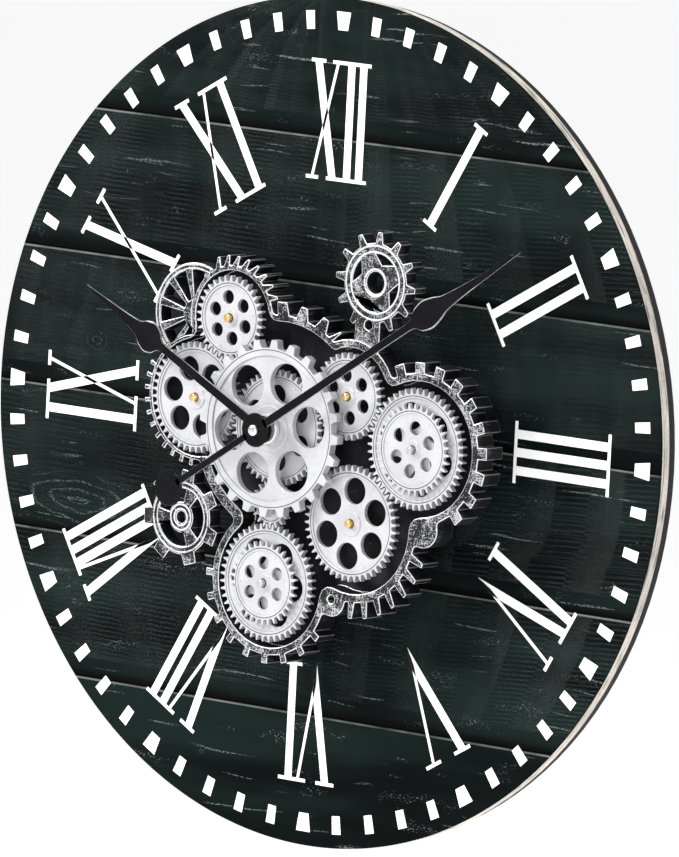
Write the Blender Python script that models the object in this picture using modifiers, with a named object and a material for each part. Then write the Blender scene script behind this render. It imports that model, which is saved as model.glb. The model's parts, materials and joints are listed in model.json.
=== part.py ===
"""Round wall clock: plank dial, black toothed gear tray and an open train of white gears.

The wall is the plane y = 0, the dial faces -Y, +Z is up, and the hands turn about the Y axis.
Flat and turned pieces are drawn with their own z axis pointing out of the dial. A "lift" is the
distance of a face from the wall, and every size below is in millimetres.
"""
import math

import bmesh
import bpy
from mathutils import Matrix

MM = 0.001
FACE_OUT = (math.pi / 2, 0.0, 0.0)
GAP = 0.3

# boards
DIAL_RADIUS = 300.0
BACK_RADIUS = 298.5
BACK_BOARD = (0.0, 7.2)
DIAL_BOARD = (7.5, 16.5)

# movement housing: a rounded box behind the tray, entered from the wall side
HOUSING_X = (-60.0, 60.0)
HOUSING_Z = (-72.0, 58.0)
HOUSING_CORNER = 38.0
HOUSING_WALL = 2.6
HOUSING_LIFT = (2.7, 46.7)
FLANGE_WIDTH = 9.0
COVER_LIFT = (0.0, 2.4)

# gear tray
TRAY_LIFT = (47.0, 65.0)
TRAY_FLOOR = 51.0
EAR_TOP = 52.7

# gear train
MODULE = 1.7
ADDENDUM = 1.08
DEDENDUM = 1.30
TOOTH_SLACK = 0.6
FINE_LIFT = (63.3, 68.3)
UPPER_LIFT = (68.6, 72.0)
COARSE_LIFT = (70.8, 77.5)
STUD_RADIUS = 2.7
BORE_RADIUS = 3.1
SHOULDER_RADIUS = 5.6
PIN_TOP = 72.4
DOUBLE_PIN_TOP = 76.4
CENTRE_TEETH = 46
LEFT_TEETH = 44
TOP_LEFT_TEETH = 33
UPPER_RIGHT_TEETH = 34
RIGHT_TEETH = 48
LOWER_RIGHT_TEETH = 46
IDLER_TEETH = 18
BOTTOM_TEETH = 47
PINION_TEETH = 12
PINION_SLACK = 1.2
RIGHT_UPPER_TEETH = 36
BOTTOM_UPPER_TEETH = 33
COARSE_TEETH = 24
COARSE_TIP = 62.4
COARSE_ROOT = 56.6

# hands
HOUR_HAND_LIFT = 85.6
MINUTE_HAND_LIFT = 91.4
HAND_THICKNESS = 1.1
MINUTE_BEARING = 56.6
HOUR_BEARING = 297.0

# what stands on the wall side
KNOB_CENTRE = (15.0, 9.0)
DOOR_X = (-30.0, 30.0)
DOOR_Z = (-66.0, -8.5)
SWITCH_X = (37.0, 43.0)
SWITCH_Z = (-10.0, 4.0)
HANGER_CENTRE = (0.0, 230.0)
HANGER_LIFT = (0.9, 2.2)
HANGER_SIZE = (67.0, 21.0)
HANGER_SCREW_X = 26.0
HEAD_SPACE = (30.0, 20.0)
ENTRY_RADIUS = 4.6
SLOT_RADIUS = 2.3
CELL_RADIUS = 7.1
CELL_HALF_LENGTH = 25.2

BLACK = (0.012, 0.012, 0.013)
WHITE = (0.78, 0.78, 0.80)


# ------------------------------------------------------------------ materials and collections

def make_material(name, colour, roughness=0.5, metallic=0.0):
    """A Principled material of one colour."""
    material = bpy.data.materials.new(name)
    material.use_nodes = True
    shader = material.node_tree.nodes["Principled BSDF"]
    shader.inputs["Base Color"].default_value = (*colour, 1.0)
    shader.inputs["Roughness"].default_value = roughness
    shader.inputs["Metallic"].default_value = metallic
    material.diffuse_color = (*colour, 1.0)
    return material


def clear_scene():
    """Remove every object and make the two collections."""
    for item in list(bpy.data.objects):
        bpy.data.objects.remove(item, do_unlink=True)
    parts = bpy.data.collections.new("gear_wall_clock")
    cutters = bpy.data.collections.new("cutters")
    bpy.context.scene.collection.children.link(parts)
    bpy.context.scene.collection.children.link(cutters)
    return parts, cutters


PARTS, CUTTERS = clear_scene()


def place(name, mesh, centre, lift, bearing, material):
    """Put a mesh drawn face up at a place on the dial, turned clockwise by a bearing."""
    item = bpy.data.objects.new(name, mesh)
    item.location = (centre[0] * MM, -lift * MM, centre[1] * MM)
    item.rotation_euler = FACE_OUT
    item.data.transform(Matrix.Rotation(-math.radians(bearing), 4, "Z"))
    item.data.materials.clear()
    item.data.materials.append(material)
    PARTS.objects.link(item)
    return item


def as_cutter(item):
    """Move an object to the cutters' collection and show it as wire."""
    PARTS.objects.unlink(item)
    CUTTERS.objects.link(item)
    item.hide_render = True
    item.display_type = "WIRE"
    return item


def combine(item, other, operation):
    """Join or cut an object with another one, which becomes a cutter."""
    modifier = item.modifiers.new(other.name, "BOOLEAN")
    modifier.operation = operation
    modifier.object = as_cutter(other)
    modifier.solver = "EXACT"
    return item


# ------------------------------------------------------------------ outlines, in (x, z) millimetres

def polar(centre, radius, bearing):
    """A point at a clockwise bearing, in degrees from straight up."""
    angle = math.radians(bearing)
    return (centre[0] + radius * math.sin(angle), centre[1] + radius * math.cos(angle))


def bearing_of(centre, point):
    """The bearing of a point seen from a centre."""
    return math.degrees(math.atan2(point[0] - centre[0], point[1] - centre[1])) % 360.0


def circle(radius, centre=(0.0, 0.0), sides=24):
    """A regular polygon on a circle."""
    return [polar(centre, radius, 360.0 * k / sides) for k in range(sides)]


def arc(centre, radius, start, end, step=7.0):
    """Points from one bearing to another, both included."""
    count = max(2, round(abs(end - start) / step) + 1)
    return [polar(centre, radius, start + (end - start) * k / (count - 1)) for k in range(count)]


def rounded_box(x_range, z_range, corner, grow=0.0, steps=7):
    """A rectangle with round corners, grown outwards by a distance."""
    left, right = x_range
    low, high = z_range
    radius = corner + grow
    points = []
    for x, z, start in ((right, high, 0), (right, low, 90), (left, low, 180), (left, high, 270)):
        inner = (x - math.copysign(corner, x - (left + right) / 2),
                 z - math.copysign(corner, z - (low + high) / 2))
        points += [polar(inner, radius, start + 90 * k / (steps - 1)) for k in range(steps)]
    return points


def hole_ring(count, radius, ring_radius, first=0.0, sides=14):
    """Round holes spaced evenly on a circle."""
    return [circle(radius, polar((0, 0), ring_radius, first + 360 * k / count), sides)
            for k in range(count)]


def gear_outline(teeth, slack=TOOTH_SLACK):
    """Straight-sided teeth of the train's module."""
    pitch = MODULE * teeth / 2
    tip = pitch + ADDENDUM * MODULE
    root = pitch - DEDENDUM * MODULE
    half = (math.pi * MODULE / 2 - slack) / 2
    slope = math.tan(math.radians(20))
    tip_half = math.degrees((half - (tip - pitch) * slope) / tip)
    root_half = math.degrees((half + (pitch - root) * slope) / root)
    return square_teeth(teeth, tip, root, tip_half, root_half)


def square_teeth(teeth, tip, root, tip_half, root_half):
    """Straight-sided teeth round a circle; the half widths are in degrees."""
    points = []
    for k in range(teeth):
        middle = 360.0 * k / teeth
        points.append(polar((0, 0), root, middle - root_half))
        points.append(polar((0, 0), tip, middle - tip_half))
        points.append(polar((0, 0), tip, middle + tip_half))
        points.append(polar((0, 0), root, middle + root_half))
    return points


class Lobe:
    """One round stretch of the tray's outline, with the teeth that stand on it."""

    def __init__(self, centre, radius, fillet, teeth=()):
        self.centre = centre
        self.radius = radius
        self.fillet = fillet
        self.teeth = teeth


def row_of_teeth(first, step, count, tip_radius, root_half, tip_half, lean=0.0):
    """Teeth as (bearing, tip radius, half width at root and at tip in mm, lean in degrees)."""
    return [(first + step * k, tip_radius, root_half, tip_half, lean) for k in range(count)]


def fillet_between(one, two):
    """Centre of the round corner that touches two lobes, outside both."""
    dx, dz = two.centre[0] - one.centre[0], two.centre[1] - one.centre[1]
    distance = math.hypot(dx, dz)
    near, far = one.radius + one.fillet, two.radius + one.fillet
    along = (near * near - far * far + distance * distance) / (2 * distance)
    across = math.sqrt(near * near - along * along)
    return (one.centre[0] + (dx * along - dz * across) / distance,
            one.centre[1] + (dz * along + dx * across) / distance)


def lobed_outline(lobes, step=9.0):
    """Clockwise outline of lobes joined by round inward corners."""
    corners = [fillet_between(lobe, lobes[(k + 1) % len(lobes)]) for k, lobe in enumerate(lobes)]
    points = []
    for k, lobe in enumerate(lobes):
        start = bearing_of(lobe.centre, corners[k - 1])
        end = bearing_of(lobe.centre, corners[k])
        if end < start:
            end += 360.0
        at = start
        for bearing, tip, root_half, tip_half, lean in lobe.teeth:
            bearing = start + (bearing - start) % 360.0
            root_turn = math.degrees(root_half / lobe.radius)
            tip_turn = math.degrees(tip_half / tip)
            points += arc(lobe.centre, lobe.radius, at, bearing - root_turn, step)
            points.append(polar(lobe.centre, tip, bearing + lean - tip_turn))
            points.append(polar(lobe.centre, tip, bearing + lean + tip_turn))
            at = bearing + root_turn
        points += arc(lobe.centre, lobe.radius, at, end, step)
        following = lobes[(k + 1) % len(lobes)]
        first = bearing_of(corners[k], lobe.centre)
        last = bearing_of(corners[k], following.centre)
        if last > first:
            last -= 360.0
        points += arc(corners[k], lobe.fillet, first, last, 30.0)[1:-1]
    return points


# ------------------------------------------------------------------ shapes

def plate_mesh(name, loops, thickness):
    """A flat plate from closed outlines, the later ones being holes, from z = 0 upwards."""
    curve = bpy.data.curves.new(name, "CURVE")
    curve.dimensions = "2D"
    curve.fill_mode = "BOTH"
    curve.extrude = thickness * MM / 2
    for loop in loops:
        spline = curve.splines.new("POLY")
        spline.points.add(len(loop) - 1)
        for point, (x, z) in zip(spline.points, loop):
            point.co = (x * MM, z * MM, 0.0, 1.0)
        spline.use_cyclic_u = True
    drawn = bpy.data.objects.new(name, curve)
    PARTS.objects.link(drawn)
    bpy.context.view_layer.update()
    evaluated = drawn.evaluated_get(bpy.context.evaluated_depsgraph_get())
    mesh = bpy.data.meshes.new_from_object(evaluated)
    bpy.data.objects.remove(drawn, do_unlink=True)
    work = bmesh.new()
    work.from_mesh(mesh)
    bmesh.ops.remove_doubles(work, verts=work.verts, dist=1e-6)
    bmesh.ops.translate(work, verts=work.verts, vec=(0, 0, thickness * MM / 2))
    bmesh.ops.recalc_face_normals(work, faces=work.faces)
    work.to_mesh(mesh)
    work.free()
    mesh.name = name
    return mesh


def plate(name, loops, lifts, material, centre=(0.0, 0.0), bearing=0.0):
    """A named flat piece between two lifts."""
    mesh = plate_mesh(name, loops, lifts[1] - lifts[0])
    return place(name, mesh, centre, lifts[0], bearing, material)


def turned(name, profile, lift, material, centre=(0.0, 0.0), steps=16):
    """A piece turned about the axis that points out of the dial; profile of (radius, height)."""
    mesh = bpy.data.meshes.new(name)
    points = [(radius * MM, 0.0, height * MM) for radius, height in profile]
    mesh.from_pydata(points, [(k, k + 1) for k in range(len(points) - 1)], [])
    item = place(name, mesh, centre, lift, 0.0, material)
    screw = item.modifiers.new("turn", "SCREW")
    screw.axis = "Z"
    screw.angle = math.tau
    screw.steps = steps
    screw.render_steps = steps
    screw.use_merge_vertices = True
    screw.merge_threshold = 1e-6
    screw.use_normal_calculate = False
    return item


def rod_profile(stations, top, bottom):
    """A stepped rod from its top to its bottom; stations are (height, radius above it)."""
    profile = [(0.0, top)]
    for height, radius in stations:
        profile.append((radius, profile[-1][1]))
        profile.append((radius, height))
    profile.append((0.0, bottom))
    return profile


def tube_profile(inner, stations, top):
    """A stepped sleeve; the closed profile runs down the outer side and up the bore."""
    profile = [(inner, top)]
    for height, radius in stations:
        profile.append((radius, profile[-1][1]))
        profile.append((radius, height))
    profile.append((inner, profile[-1][1]))
    profile.append((inner, top))
    return profile


def block(name, x_range, lifts, z_range, material, bevel=0.0):
    """A box between given sides, with bevelled edges where asked."""
    bpy.ops.mesh.primitive_cube_add(size=1.0)
    item = bpy.context.object
    item.name = name
    item.data.name = name
    for collection in list(item.users_collection):
        collection.objects.unlink(item)
    PARTS.objects.link(item)
    size = (x_range[1] - x_range[0], lifts[1] - lifts[0], z_range[1] - z_range[0])
    item.data.transform(Matrix.Diagonal((size[0] * MM, size[1] * MM, size[2] * MM, 1.0)))
    item.location = (sum(x_range) / 2 * MM, -sum(lifts) / 2 * MM, sum(z_range) / 2 * MM)
    item.data.materials.append(material)
    if bevel:
        rounding = item.modifiers.new("edges", "BEVEL")
        rounding.width = bevel * MM
        rounding.segments = 2
    return item


def cylinder(name, radius, x_range, centre, material, sides=20):
    """A cylinder lying along X; centre is (lift, z)."""
    bpy.ops.mesh.primitive_cylinder_add(vertices=sides, radius=radius * MM,
                                        depth=(x_range[1] - x_range[0]) * MM)
    item = bpy.context.object
    item.name = name
    item.data.name = name
    for collection in list(item.users_collection):
        collection.objects.unlink(item)
    PARTS.objects.link(item)
    item.data.transform(Matrix.Rotation(math.pi / 2, 4, "Y"))
    item.location = (sum(x_range) / 2 * MM, -centre[0] * MM, centre[1] * MM)
    item.data.materials.append(material)
    return item


# ------------------------------------------------------------------ where the gears stand

def gear_distance(one, two):
    """Centre distance of two meshing gears."""
    return MODULE * (one + two) / 2


def meshing_bearing(driver_bearing, driver_teeth, direction, teeth):
    """Bearing of a gear whose teeth fit the gaps of the one that drives it."""
    phase = (direction - driver_bearing) * driver_teeth / 360.0
    return direction + 180.0 - (360.0 / teeth) * (0.5 - phase)


class Wheel:
    """A gear of the train: its place, teeth and how far its first tooth is turned."""

    def __init__(self, teeth, driver=None, direction=0.0):
        self.teeth = teeth
        if driver is None:
            self.centre = (0.0, 0.0)
            self.bearing = 0.0
        else:
            self.centre = polar(driver.centre, gear_distance(driver.teeth, teeth), direction)
            self.bearing = meshing_bearing(driver.bearing, driver.teeth, direction, teeth)


MIDDLE = Wheel(CENTRE_TEETH)
LEFT = Wheel(LEFT_TEETH, MIDDLE, 279.7)
TOP_LEFT = Wheel(TOP_LEFT_TEETH, LEFT, 25.1)
UPPER_RIGHT = Wheel(UPPER_RIGHT_TEETH, MIDDLE, 64.7)
RIGHT = Wheel(RIGHT_TEETH, UPPER_RIGHT, 115.2)
LOWER_RIGHT = Wheel(LOWER_RIGHT_TEETH, RIGHT, 223.0)
IDLER = Wheel(IDLER_TEETH, MIDDLE, 182.5)
BOTTOM = Wheel(BOTTOM_TEETH, IDLER, 180.4)
PINION = Wheel(PINION_TEETH, MIDDLE, 345.5)


# ------------------------------------------------------------------ outlines of the tray

CORNER_RIGHT = (132.0, -56.0)
CORNER_LOW = (53.7, -114.6)
STAR_CENTRE = (79.1, 110.5)
STAR_SCREW = (74.8, 80.5)
COG_CENTRE = (-85.5, -73.5)
SPOKE_CENTRE = (-81.7, 71.0)

INNER_LOBES = [
    Lobe(TOP_LEFT.centre, 33.4, 8.0),
    Lobe(MIDDLE.centre, 74.5, 4.0),
    Lobe(UPPER_RIGHT.centre, 34.2, 8.0),
    Lobe(RIGHT.centre, 47.5, 10.0),
    Lobe(LOWER_RIGHT.centre, 49.6, 9.0),
    Lobe(BOTTOM.centre, 46.0, 8.0),
    Lobe(MIDDLE.centre, 69.5, 2.0),
    Lobe(LEFT.centre, 41.8, 8.0),
]
OUTER_LOBES = [
    Lobe(TOP_LEFT.centre, 36.9, 3.0, row_of_teeth(336, 12.2, 8, 44.0, 2.6, 1.2, 4.0)),
    Lobe(MIDDLE.centre, 79.3, 2.0, [(-1.2, 88.4, 5.2, 4.4, -1.0), (11.2, 88.0, 5.4, 2.9, 0.0),
                                    (24.0, 88.6, 5.6, 2.7, 0.6), (31.9, 88.6, 2.2, 0.8, 3.0)]),
    Lobe(UPPER_RIGHT.centre, 40.0, 3.0),
    Lobe(RIGHT.centre, 53.0, 3.0, row_of_teeth(-20, 17.8, 10, 60.6, 4.1, 4.3)),
    Lobe(CORNER_RIGHT, 13.0, 3.0),
    Lobe(LOWER_RIGHT.centre, 55.6, 2.0, row_of_teeth(108.5, 11.6, 7, 67.0, 2.8, 1.7, 1.0)),
    Lobe(CORNER_LOW, 12.0, 3.0),
    Lobe(BOTTOM.centre, 51.5, 4.0, row_of_teeth(127, 18.0, 9, 57.5, 2.4, 2.7)),
    Lobe(MIDDLE.centre, 77.5, 4.0),
    Lobe(LEFT.centre, 44.4, 1.5, row_of_teeth(184.5, 11.0, 11, 49.0, 1.3, 1.7)),
]


def bar(start, end, width):
    """A strip with round ends from one point to another."""
    heading = bearing_of(start, end)
    return (arc(end, width / 2, heading - 90, heading + 90, 30)
            + arc(start, width / 2, heading + 90, heading + 270, 30))


# ------------------------------------------------------------------ boards and hanger

def box_around(centre, size, corner=3.0):
    """A small rectangle with round corners, given by its centre, width and height."""
    x, z = centre
    return rounded_box((x - size[0] / 2, x + size[0] / 2), (z - size[1] / 2, z + size[1] / 2),
                       corner, steps=3)


def keyhole(centre):
    """A round entry below a narrow slot for the wall screw."""
    x, z = centre
    neck = math.degrees(math.asin(SLOT_RADIUS / ENTRY_RADIUS)) + 2.0
    entry = arc((x, z - 4.0), ENTRY_RADIUS, neck, 360.0 - neck, 27.0)
    slot = arc((x, z + 4.0), SLOT_RADIUS, 270, 450, 30.0)
    return entry + slot


def make_boards(painted, edge, steel):
    """Dial board, backing board, and the hanger with its two screws."""
    opening = rounded_box(HOUSING_X, HOUSING_Z, HOUSING_CORNER, GAP)
    plate("dial_board", [circle(DIAL_RADIUS, sides=120), opening], DIAL_BOARD, painted)
    wide = rounded_box(HOUSING_X, HOUSING_Z, HOUSING_CORNER, FLANGE_WIDTH + GAP)
    screws = [(HANGER_CENTRE[0] + side * HANGER_SCREW_X, HANGER_CENTRE[1]) for side in (-1, 1)]
    screw_holes = [circle(1.9, point, 12) for point in screws]
    head_space = box_around(HANGER_CENTRE, HEAD_SPACE)
    board = plate("back_board", [circle(BACK_RADIUS, sides=120), wide, head_space] + screw_holes,
                  BACK_BOARD, edge)
    rebate = box_around(HANGER_CENTRE, (HANGER_SIZE[0] + 1.0, HANGER_SIZE[1] + 1.0))
    combine(board, plate("hanger_rebate", [rebate], (-1.0, HANGER_LIFT[1] + GAP), edge),
            "DIFFERENCE")
    plate("hanger_plate", [box_around(HANGER_CENTRE, HANGER_SIZE), keyhole(HANGER_CENTRE)]
          + screw_holes, HANGER_LIFT, steel)
    for name, point in zip(("hanger_screw_left", "hanger_screw_right"), screws):
        turned(name, rod_profile([(0.7, 1.5), (0.1, 3.0)], 6.6, 0.1), 0.0, steel, point, 12)


# ------------------------------------------------------------------ housing and what it holds

def make_housing(black, grey, steel):
    """Rounded box with a flange behind the dial board, its rear cover, screws and door."""
    housing = plate("movement_housing", [rounded_box(HOUSING_X, HOUSING_Z, HOUSING_CORNER)],
                    HOUSING_LIFT, black)
    around = rounded_box(HOUSING_X, HOUSING_Z, HOUSING_CORNER, FLANGE_WIDTH)
    screws = [(HOUSING_X[k] + side * FLANGE_WIDTH / 2, z)
              for k, side in ((0, -1), (1, 1)) for z in (20.0, -34.0)]
    holes = [circle(1.9, point, 12) for point in screws]
    flange = plate("housing_flange", [around] + holes, (HOUSING_LIFT[0], BACK_BOARD[1]), black)
    combine(housing, flange, "UNION")
    inside = rounded_box(HOUSING_X, HOUSING_Z, HOUSING_CORNER, -HOUSING_WALL)
    hollow = plate("housing_hollow", [inside],
                   (HOUSING_LIFT[0] - 1.0, HOUSING_LIFT[1] - HOUSING_WALL), black)
    combine(housing, hollow, "DIFFERENCE")
    front = (HOUSING_LIFT[1] - 6.0, HOUSING_LIFT[1] + 2.0)
    bores = plate("front_bores", [circle(5.2, sides=16), circle(2.5, PINION.centre, 12)],
                  front, black)
    combine(housing, bores, "DIFFERENCE")

    cover = plate("rear_cover", [around, rounded_box(DOOR_X, DOOR_Z, 0.1, GAP, steps=2),
                                 circle(9.5, KNOB_CENTRE, 20),
                                 rounded_box(SWITCH_X, SWITCH_Z, 0.1, steps=2)] + holes,
                  COVER_LIFT, black)
    sinks = plate("screw_sinks", [circle(3.5, point, 12) for point in screws], (-1.0, 1.4), black)
    combine(cover, sinks, "DIFFERENCE")
    for name, point in zip(("cover_screw_a", "cover_screw_b", "cover_screw_c", "cover_screw_d"),
                           screws):
        turned(name, rod_profile([(1.1, 1.55), (0.2, 3.1)], 6.6, 0.2), 0.0, steel, point, 12)

    door = block("battery_door", DOOR_X, (0.4, 2.4), DOOR_Z, grey)
    hinge_at_low_outer_edge(door)
    block("switch_body", (31.0, 49.0), (3.2, 11.0), (-16.0, 10.0), black)
    block("switch_slider", (SWITCH_X[0] + 0.4, SWITCH_X[1] - 0.4), (0.5, 2.9),
          (SWITCH_Z[0] + 0.4, SWITCH_Z[0] + 6.4), grey)


def hinge_at_low_outer_edge(door):
    """Move the door's origin to its hinge line without moving the door."""
    hinge = (0.0, -0.4 * MM, DOOR_Z[0] * MM)
    shift = [door.location[k] - hinge[k] for k in range(3)]
    door.data.transform(Matrix.Translation(shift))
    door.location = hinge


def make_power(black, grey, steel, cell_skin):
    """Quartz movement, motor, battery holder, cells and set knob."""
    movement = block("quartz_movement", (-28, 28), (27.5, 43.8), (-28, 28), black)
    bay = block("cell_bay", (-25.6, 25.6), (26.0, 42.2), (-24.6, -9.4), black)
    combine(movement, bay, "DIFFERENCE")
    cell = (-CELL_HALF_LENGTH, CELL_HALF_LENGTH)
    cylinder("clock_cell", CELL_RADIUS, cell, (34.8, -17.0), cell_skin)
    holder = block("battery_holder", (-28.5, 28.5), (4.0, 21.0), (-64.5, -29.5), black)
    for name, z in (("upper_bay", (-46.2, -31.0)), ("lower_bay", (-63.0, -47.8))):
        combine(holder, block(name, (-26.2, 26.2), (3.0, 19.4), z, black), "DIFFERENCE")
    cylinder("motor_cell_upper", CELL_RADIUS, cell, (12.0, -38.6), cell_skin)
    cylinder("motor_cell_lower", CELL_RADIUS, cell, (12.0, -55.4), cell_skin)
    turned("set_knob", rod_profile([(5.0, 2.0), (0.8, 8.0)], 27.2, 0.8), 0.0, grey,
           KNOB_CENTRE, 20)
    x, z = PINION.centre
    block("gear_motor", (x - 12, x + 12), (14.0, 43.8), (z - 13.5, z + 6.5), steel, 1.0)


# ------------------------------------------------------------------ tray and its trims

STUDS = [("left", LEFT), ("top_left", TOP_LEFT), ("upper_right", UPPER_RIGHT), ("right", RIGHT),
         ("lower_right", LOWER_RIGHT), ("idler", IDLER), ("bottom", BOTTOM)]
POSTS = [("post_left", LEFT), ("post_top_left", TOP_LEFT), ("post_right", RIGHT),
         ("post_bottom", BOTTOM)]


def make_tray(black):
    """Toothed tray: outer wall, floor, ears under the trims and bores for the studs."""
    tray = plate("gear_tray", [lobed_outline(OUTER_LOBES)], TRAY_LIFT, black)
    ears = [("star_ear", bar(STAR_SCREW, UPPER_RIGHT.centre, 17.0)),
            ("cog_ear", bar(COG_CENTRE, (-40.0, -40.0), 16.0)),
            ("spoke_ear", bar((-90.0, 70.0), (-50.0, 50.0), 14.0))]
    for name, outline in ears:
        combine(tray, plate(name, [outline], (TRAY_LIFT[0], EAR_TOP), black), "UNION")
    pocket = plate("tray_pocket", [lobed_outline(INNER_LOBES)], (TRAY_FLOOR, TRAY_LIFT[1] + 1),
                   black)
    combine(tray, pocket, "DIFFERENCE")
    bores = [circle(2.2, wheel.centre, 12) for _, wheel in STUDS]
    bores += [circle(5.2, sides=16), circle(2.5, PINION.centre, 12), circle(3.0, CORNER_LOW, 12),
              circle(2.0, STAR_SCREW, 12), circle(2.0, COG_CENTRE, 12)]
    combine(tray, plate("tray_bores", bores, (TRAY_LIFT[0] - 1, TRAY_LIFT[1] + 1), black),
            "DIFFERENCE")
    for name, wheel in POSTS:
        turned(name, rod_profile([(3.0, 5.0), (0.0, 8.0)], TRAY_LIFT[0] - GAP - 16.8, 0.0), 16.8,
               black, wheel.centre, 12)


def lens(radius, reach, bearing):
    """A hole between a circle's arc and a shallow point behind it."""
    outer = arc((0, 0), radius, bearing - reach, bearing + reach, 12)
    return outer + [polar((0, 0), radius * 0.66, bearing)]


def window(inner, outer, start, end):
    """An opening between two circles and two spokes."""
    return arc((0, 0), outer, start, end, 9) + arc((0, 0), inner, end - 2, start + 2, 14)


def make_trims(black, steel):
    """Star wheel with its bracket, cog wheel and spoked wheel."""
    lifts = (EAR_TOP + GAP, TRAY_LIFT[1])
    star_outline = []
    for bearing, tip, root_half, tip_half, _ in row_of_teeth(3.5, 30, 12, 35.6, 3.4, 1.9):
        turn = math.degrees(root_half / 27.8)
        star_outline += arc((0, 0), 27.8, bearing - 30 + turn, bearing - turn, 9)
        edge = math.degrees(tip_half / tip)
        star_outline += [polar((0, 0), tip, bearing - edge), polar((0, 0), tip, bearing + edge)]
    holes = [circle(7.8, sides=20)] + [lens(20.5, 26, 22.5 + 90 * k) for k in range(4)]
    star = plate("star_wheel", [star_outline] + holes, lifts, black, STAR_CENTRE)
    strap = plate("star_strap", [[(63, 64), (63, 84), (68, 90), (83, 90), (85, 84), (85, 58)]],
                  lifts, black)
    combine(star, strap, "UNION")
    clear = plate("star_clearance", [circle(40.0 + GAP, UPPER_RIGHT.centre, 60),
                                     circle(3.6, STAR_SCREW, 14)],
                  (lifts[0] - 1, lifts[1] + 1), black)
    combine(star, clear, "DIFFERENCE")
    turned("star_screw", rod_profile([(2.0, 3.2), (-5.4, 1.7)], 4.6, -5.4), lifts[0] + 0.2,
           steel, STAR_SCREW, 12)

    teeth = square_teeth(7, 34.3, 26.5, 9.2, 13.0)
    ring = []
    for k in range(0, len(teeth), 4):
        ring += teeth[k:k + 4]
        middle = 360.0 * (k // 4) / 7
        ring += arc((0, 0), 26.5, middle + 13.0, middle + 360.0 / 7 - 13.0, 9)[1:-1]
    windows = [window(11.0, 20.5, 27 - 8.5 + 16 + 120 * k, 27 - 8.5 + 104 + 120 * k)
               for k in range(3)]
    plate("cog_wheel", [ring] + windows + [circle(4.3, sides=14)], lifts, black, COG_CENTRE, 8.5)
    turned("cog_screw", rod_profile([(2.4, 3.9), (-5.4, 1.7)], 5.0, -5.4), lifts[0] + 0.2, steel,
           COG_CENTRE, 12)

    step = 360.0 / 11
    windows = [window(10.5, 31.5, 281 + 5.4 + step * k, 281 + step - 5.4 + step * k)
               for k in range(11)]
    spoked = plate("spoke_wheel", [circle(36.3, sides=60)] + windows, lifts, black, SPOKE_CENTRE)
    clearance = [("spoke_clear_top", circle(36.9 + 0.5, TOP_LEFT.centre, 60)),
                 ("spoke_clear_low", circle(44.4 + 0.5, LEFT.centre, 60)),
                 ("spoke_clear_corner", circle(3.5, (-80.0, 56.5), 12))]
    for name, outline in clearance:
        combine(spoked, plate(name, [outline], (lifts[0] - 1, lifts[1] + 1), black), "DIFFERENCE")


# ------------------------------------------------------------------ gear train

def train_gear(name, wheel, holes, lifts, material, bore=BORE_RADIUS, teeth=None,
               slack=TOOTH_SLACK):
    """A gear of the train; holes are (count, radius, ring radius, first bearing)."""
    count, radius, ring_radius, first = holes
    loops = [gear_outline(teeth or wheel.teeth, slack), circle(bore, sides=16)]
    if count:
        loops += hole_ring(count, radius, ring_radius, first - wheel.bearing)
    return plate(name, loops, lifts, material, wheel.centre, wheel.bearing)


def make_train(white, brass, steel, black):
    """Every gear on its stud, and the middle pair on their sleeve."""
    train_gear("center_fine_gear", MIDDLE, (6, 7.2, 23.0, 356.3), FINE_LIFT, white, 7.9)
    train_gear("left_gear", LEFT, (6, 8.7, 21.0, 40.0), FINE_LIFT, white)
    train_gear("top_left_gear", TOP_LEFT, (6, 4.9, 14.6, 50.0), FINE_LIFT, white)
    train_gear("upper_right_gear", UPPER_RIGHT, (6, 4.9, 15.0, 51.0), FINE_LIFT, white)
    train_gear("right_lower_gear", RIGHT, (6, 9.5, 23.5, 47.0), FINE_LIFT, white)
    train_gear("right_upper_gear", RIGHT, (6, 4.9, 15.3, 6.0), UPPER_LIFT, white,
               teeth=RIGHT_UPPER_TEETH)
    train_gear("lower_right_gear", LOWER_RIGHT, (6, 9.4, 23.2, 5.0), FINE_LIFT, white)
    train_gear("idler_gear", IDLER, (0, 0, 0, 0), FINE_LIFT, white)
    train_gear("bottom_lower_gear", BOTTOM, (6, 9.5, 23.0, 33.0), FINE_LIFT, white)
    train_gear("bottom_upper_gear", BOTTOM, (6, 4.6, 14.2, 357.5), UPPER_LIFT, white,
               teeth=BOTTOM_UPPER_TEETH)
    train_gear("motor_pinion", PINION, (0, 0, 0, 0), FINE_LIFT, black, 2.3, slack=PINION_SLACK)
    turned("pinion_shaft", rod_profile([(44.1, 2.0)], FINE_LIFT[1], 44.1), 0.0, steel,
           PINION.centre)
    coarse = square_teeth(COARSE_TEETH, COARSE_TIP, COARSE_ROOT, 3.1, 4.1)
    plate("center_coarse_gear", [coarse, circle(7.9, sides=16)]
          + hole_ring(6, 14.5, 35.2, 22.0 - 1.3, 20), COARSE_LIFT, white, bearing=1.3)
    turned("gear_sleeve", tube_profile(5.0, [(77.8, 10.5), (70.5, 7.5), (68.6, 9.6), (63.3, 7.5)],
                                       82.0), 0.0, white)
    for name, wheel in STUDS:
        double = name in ("right", "bottom")
        top = DOUBLE_PIN_TOP if double else PIN_TOP
        if name == "idler":
            top = 69.5
        profile = rod_profile([(63.0, STUD_RADIUS), (51.3, SHOULDER_RADIUS), (47.2, 1.9)], top,
                              47.2)
        turned(name + "_stud", profile, 0.0, steel if double or name == "idler" else brass,
               wheel.centre)


# ------------------------------------------------------------------ hands

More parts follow.
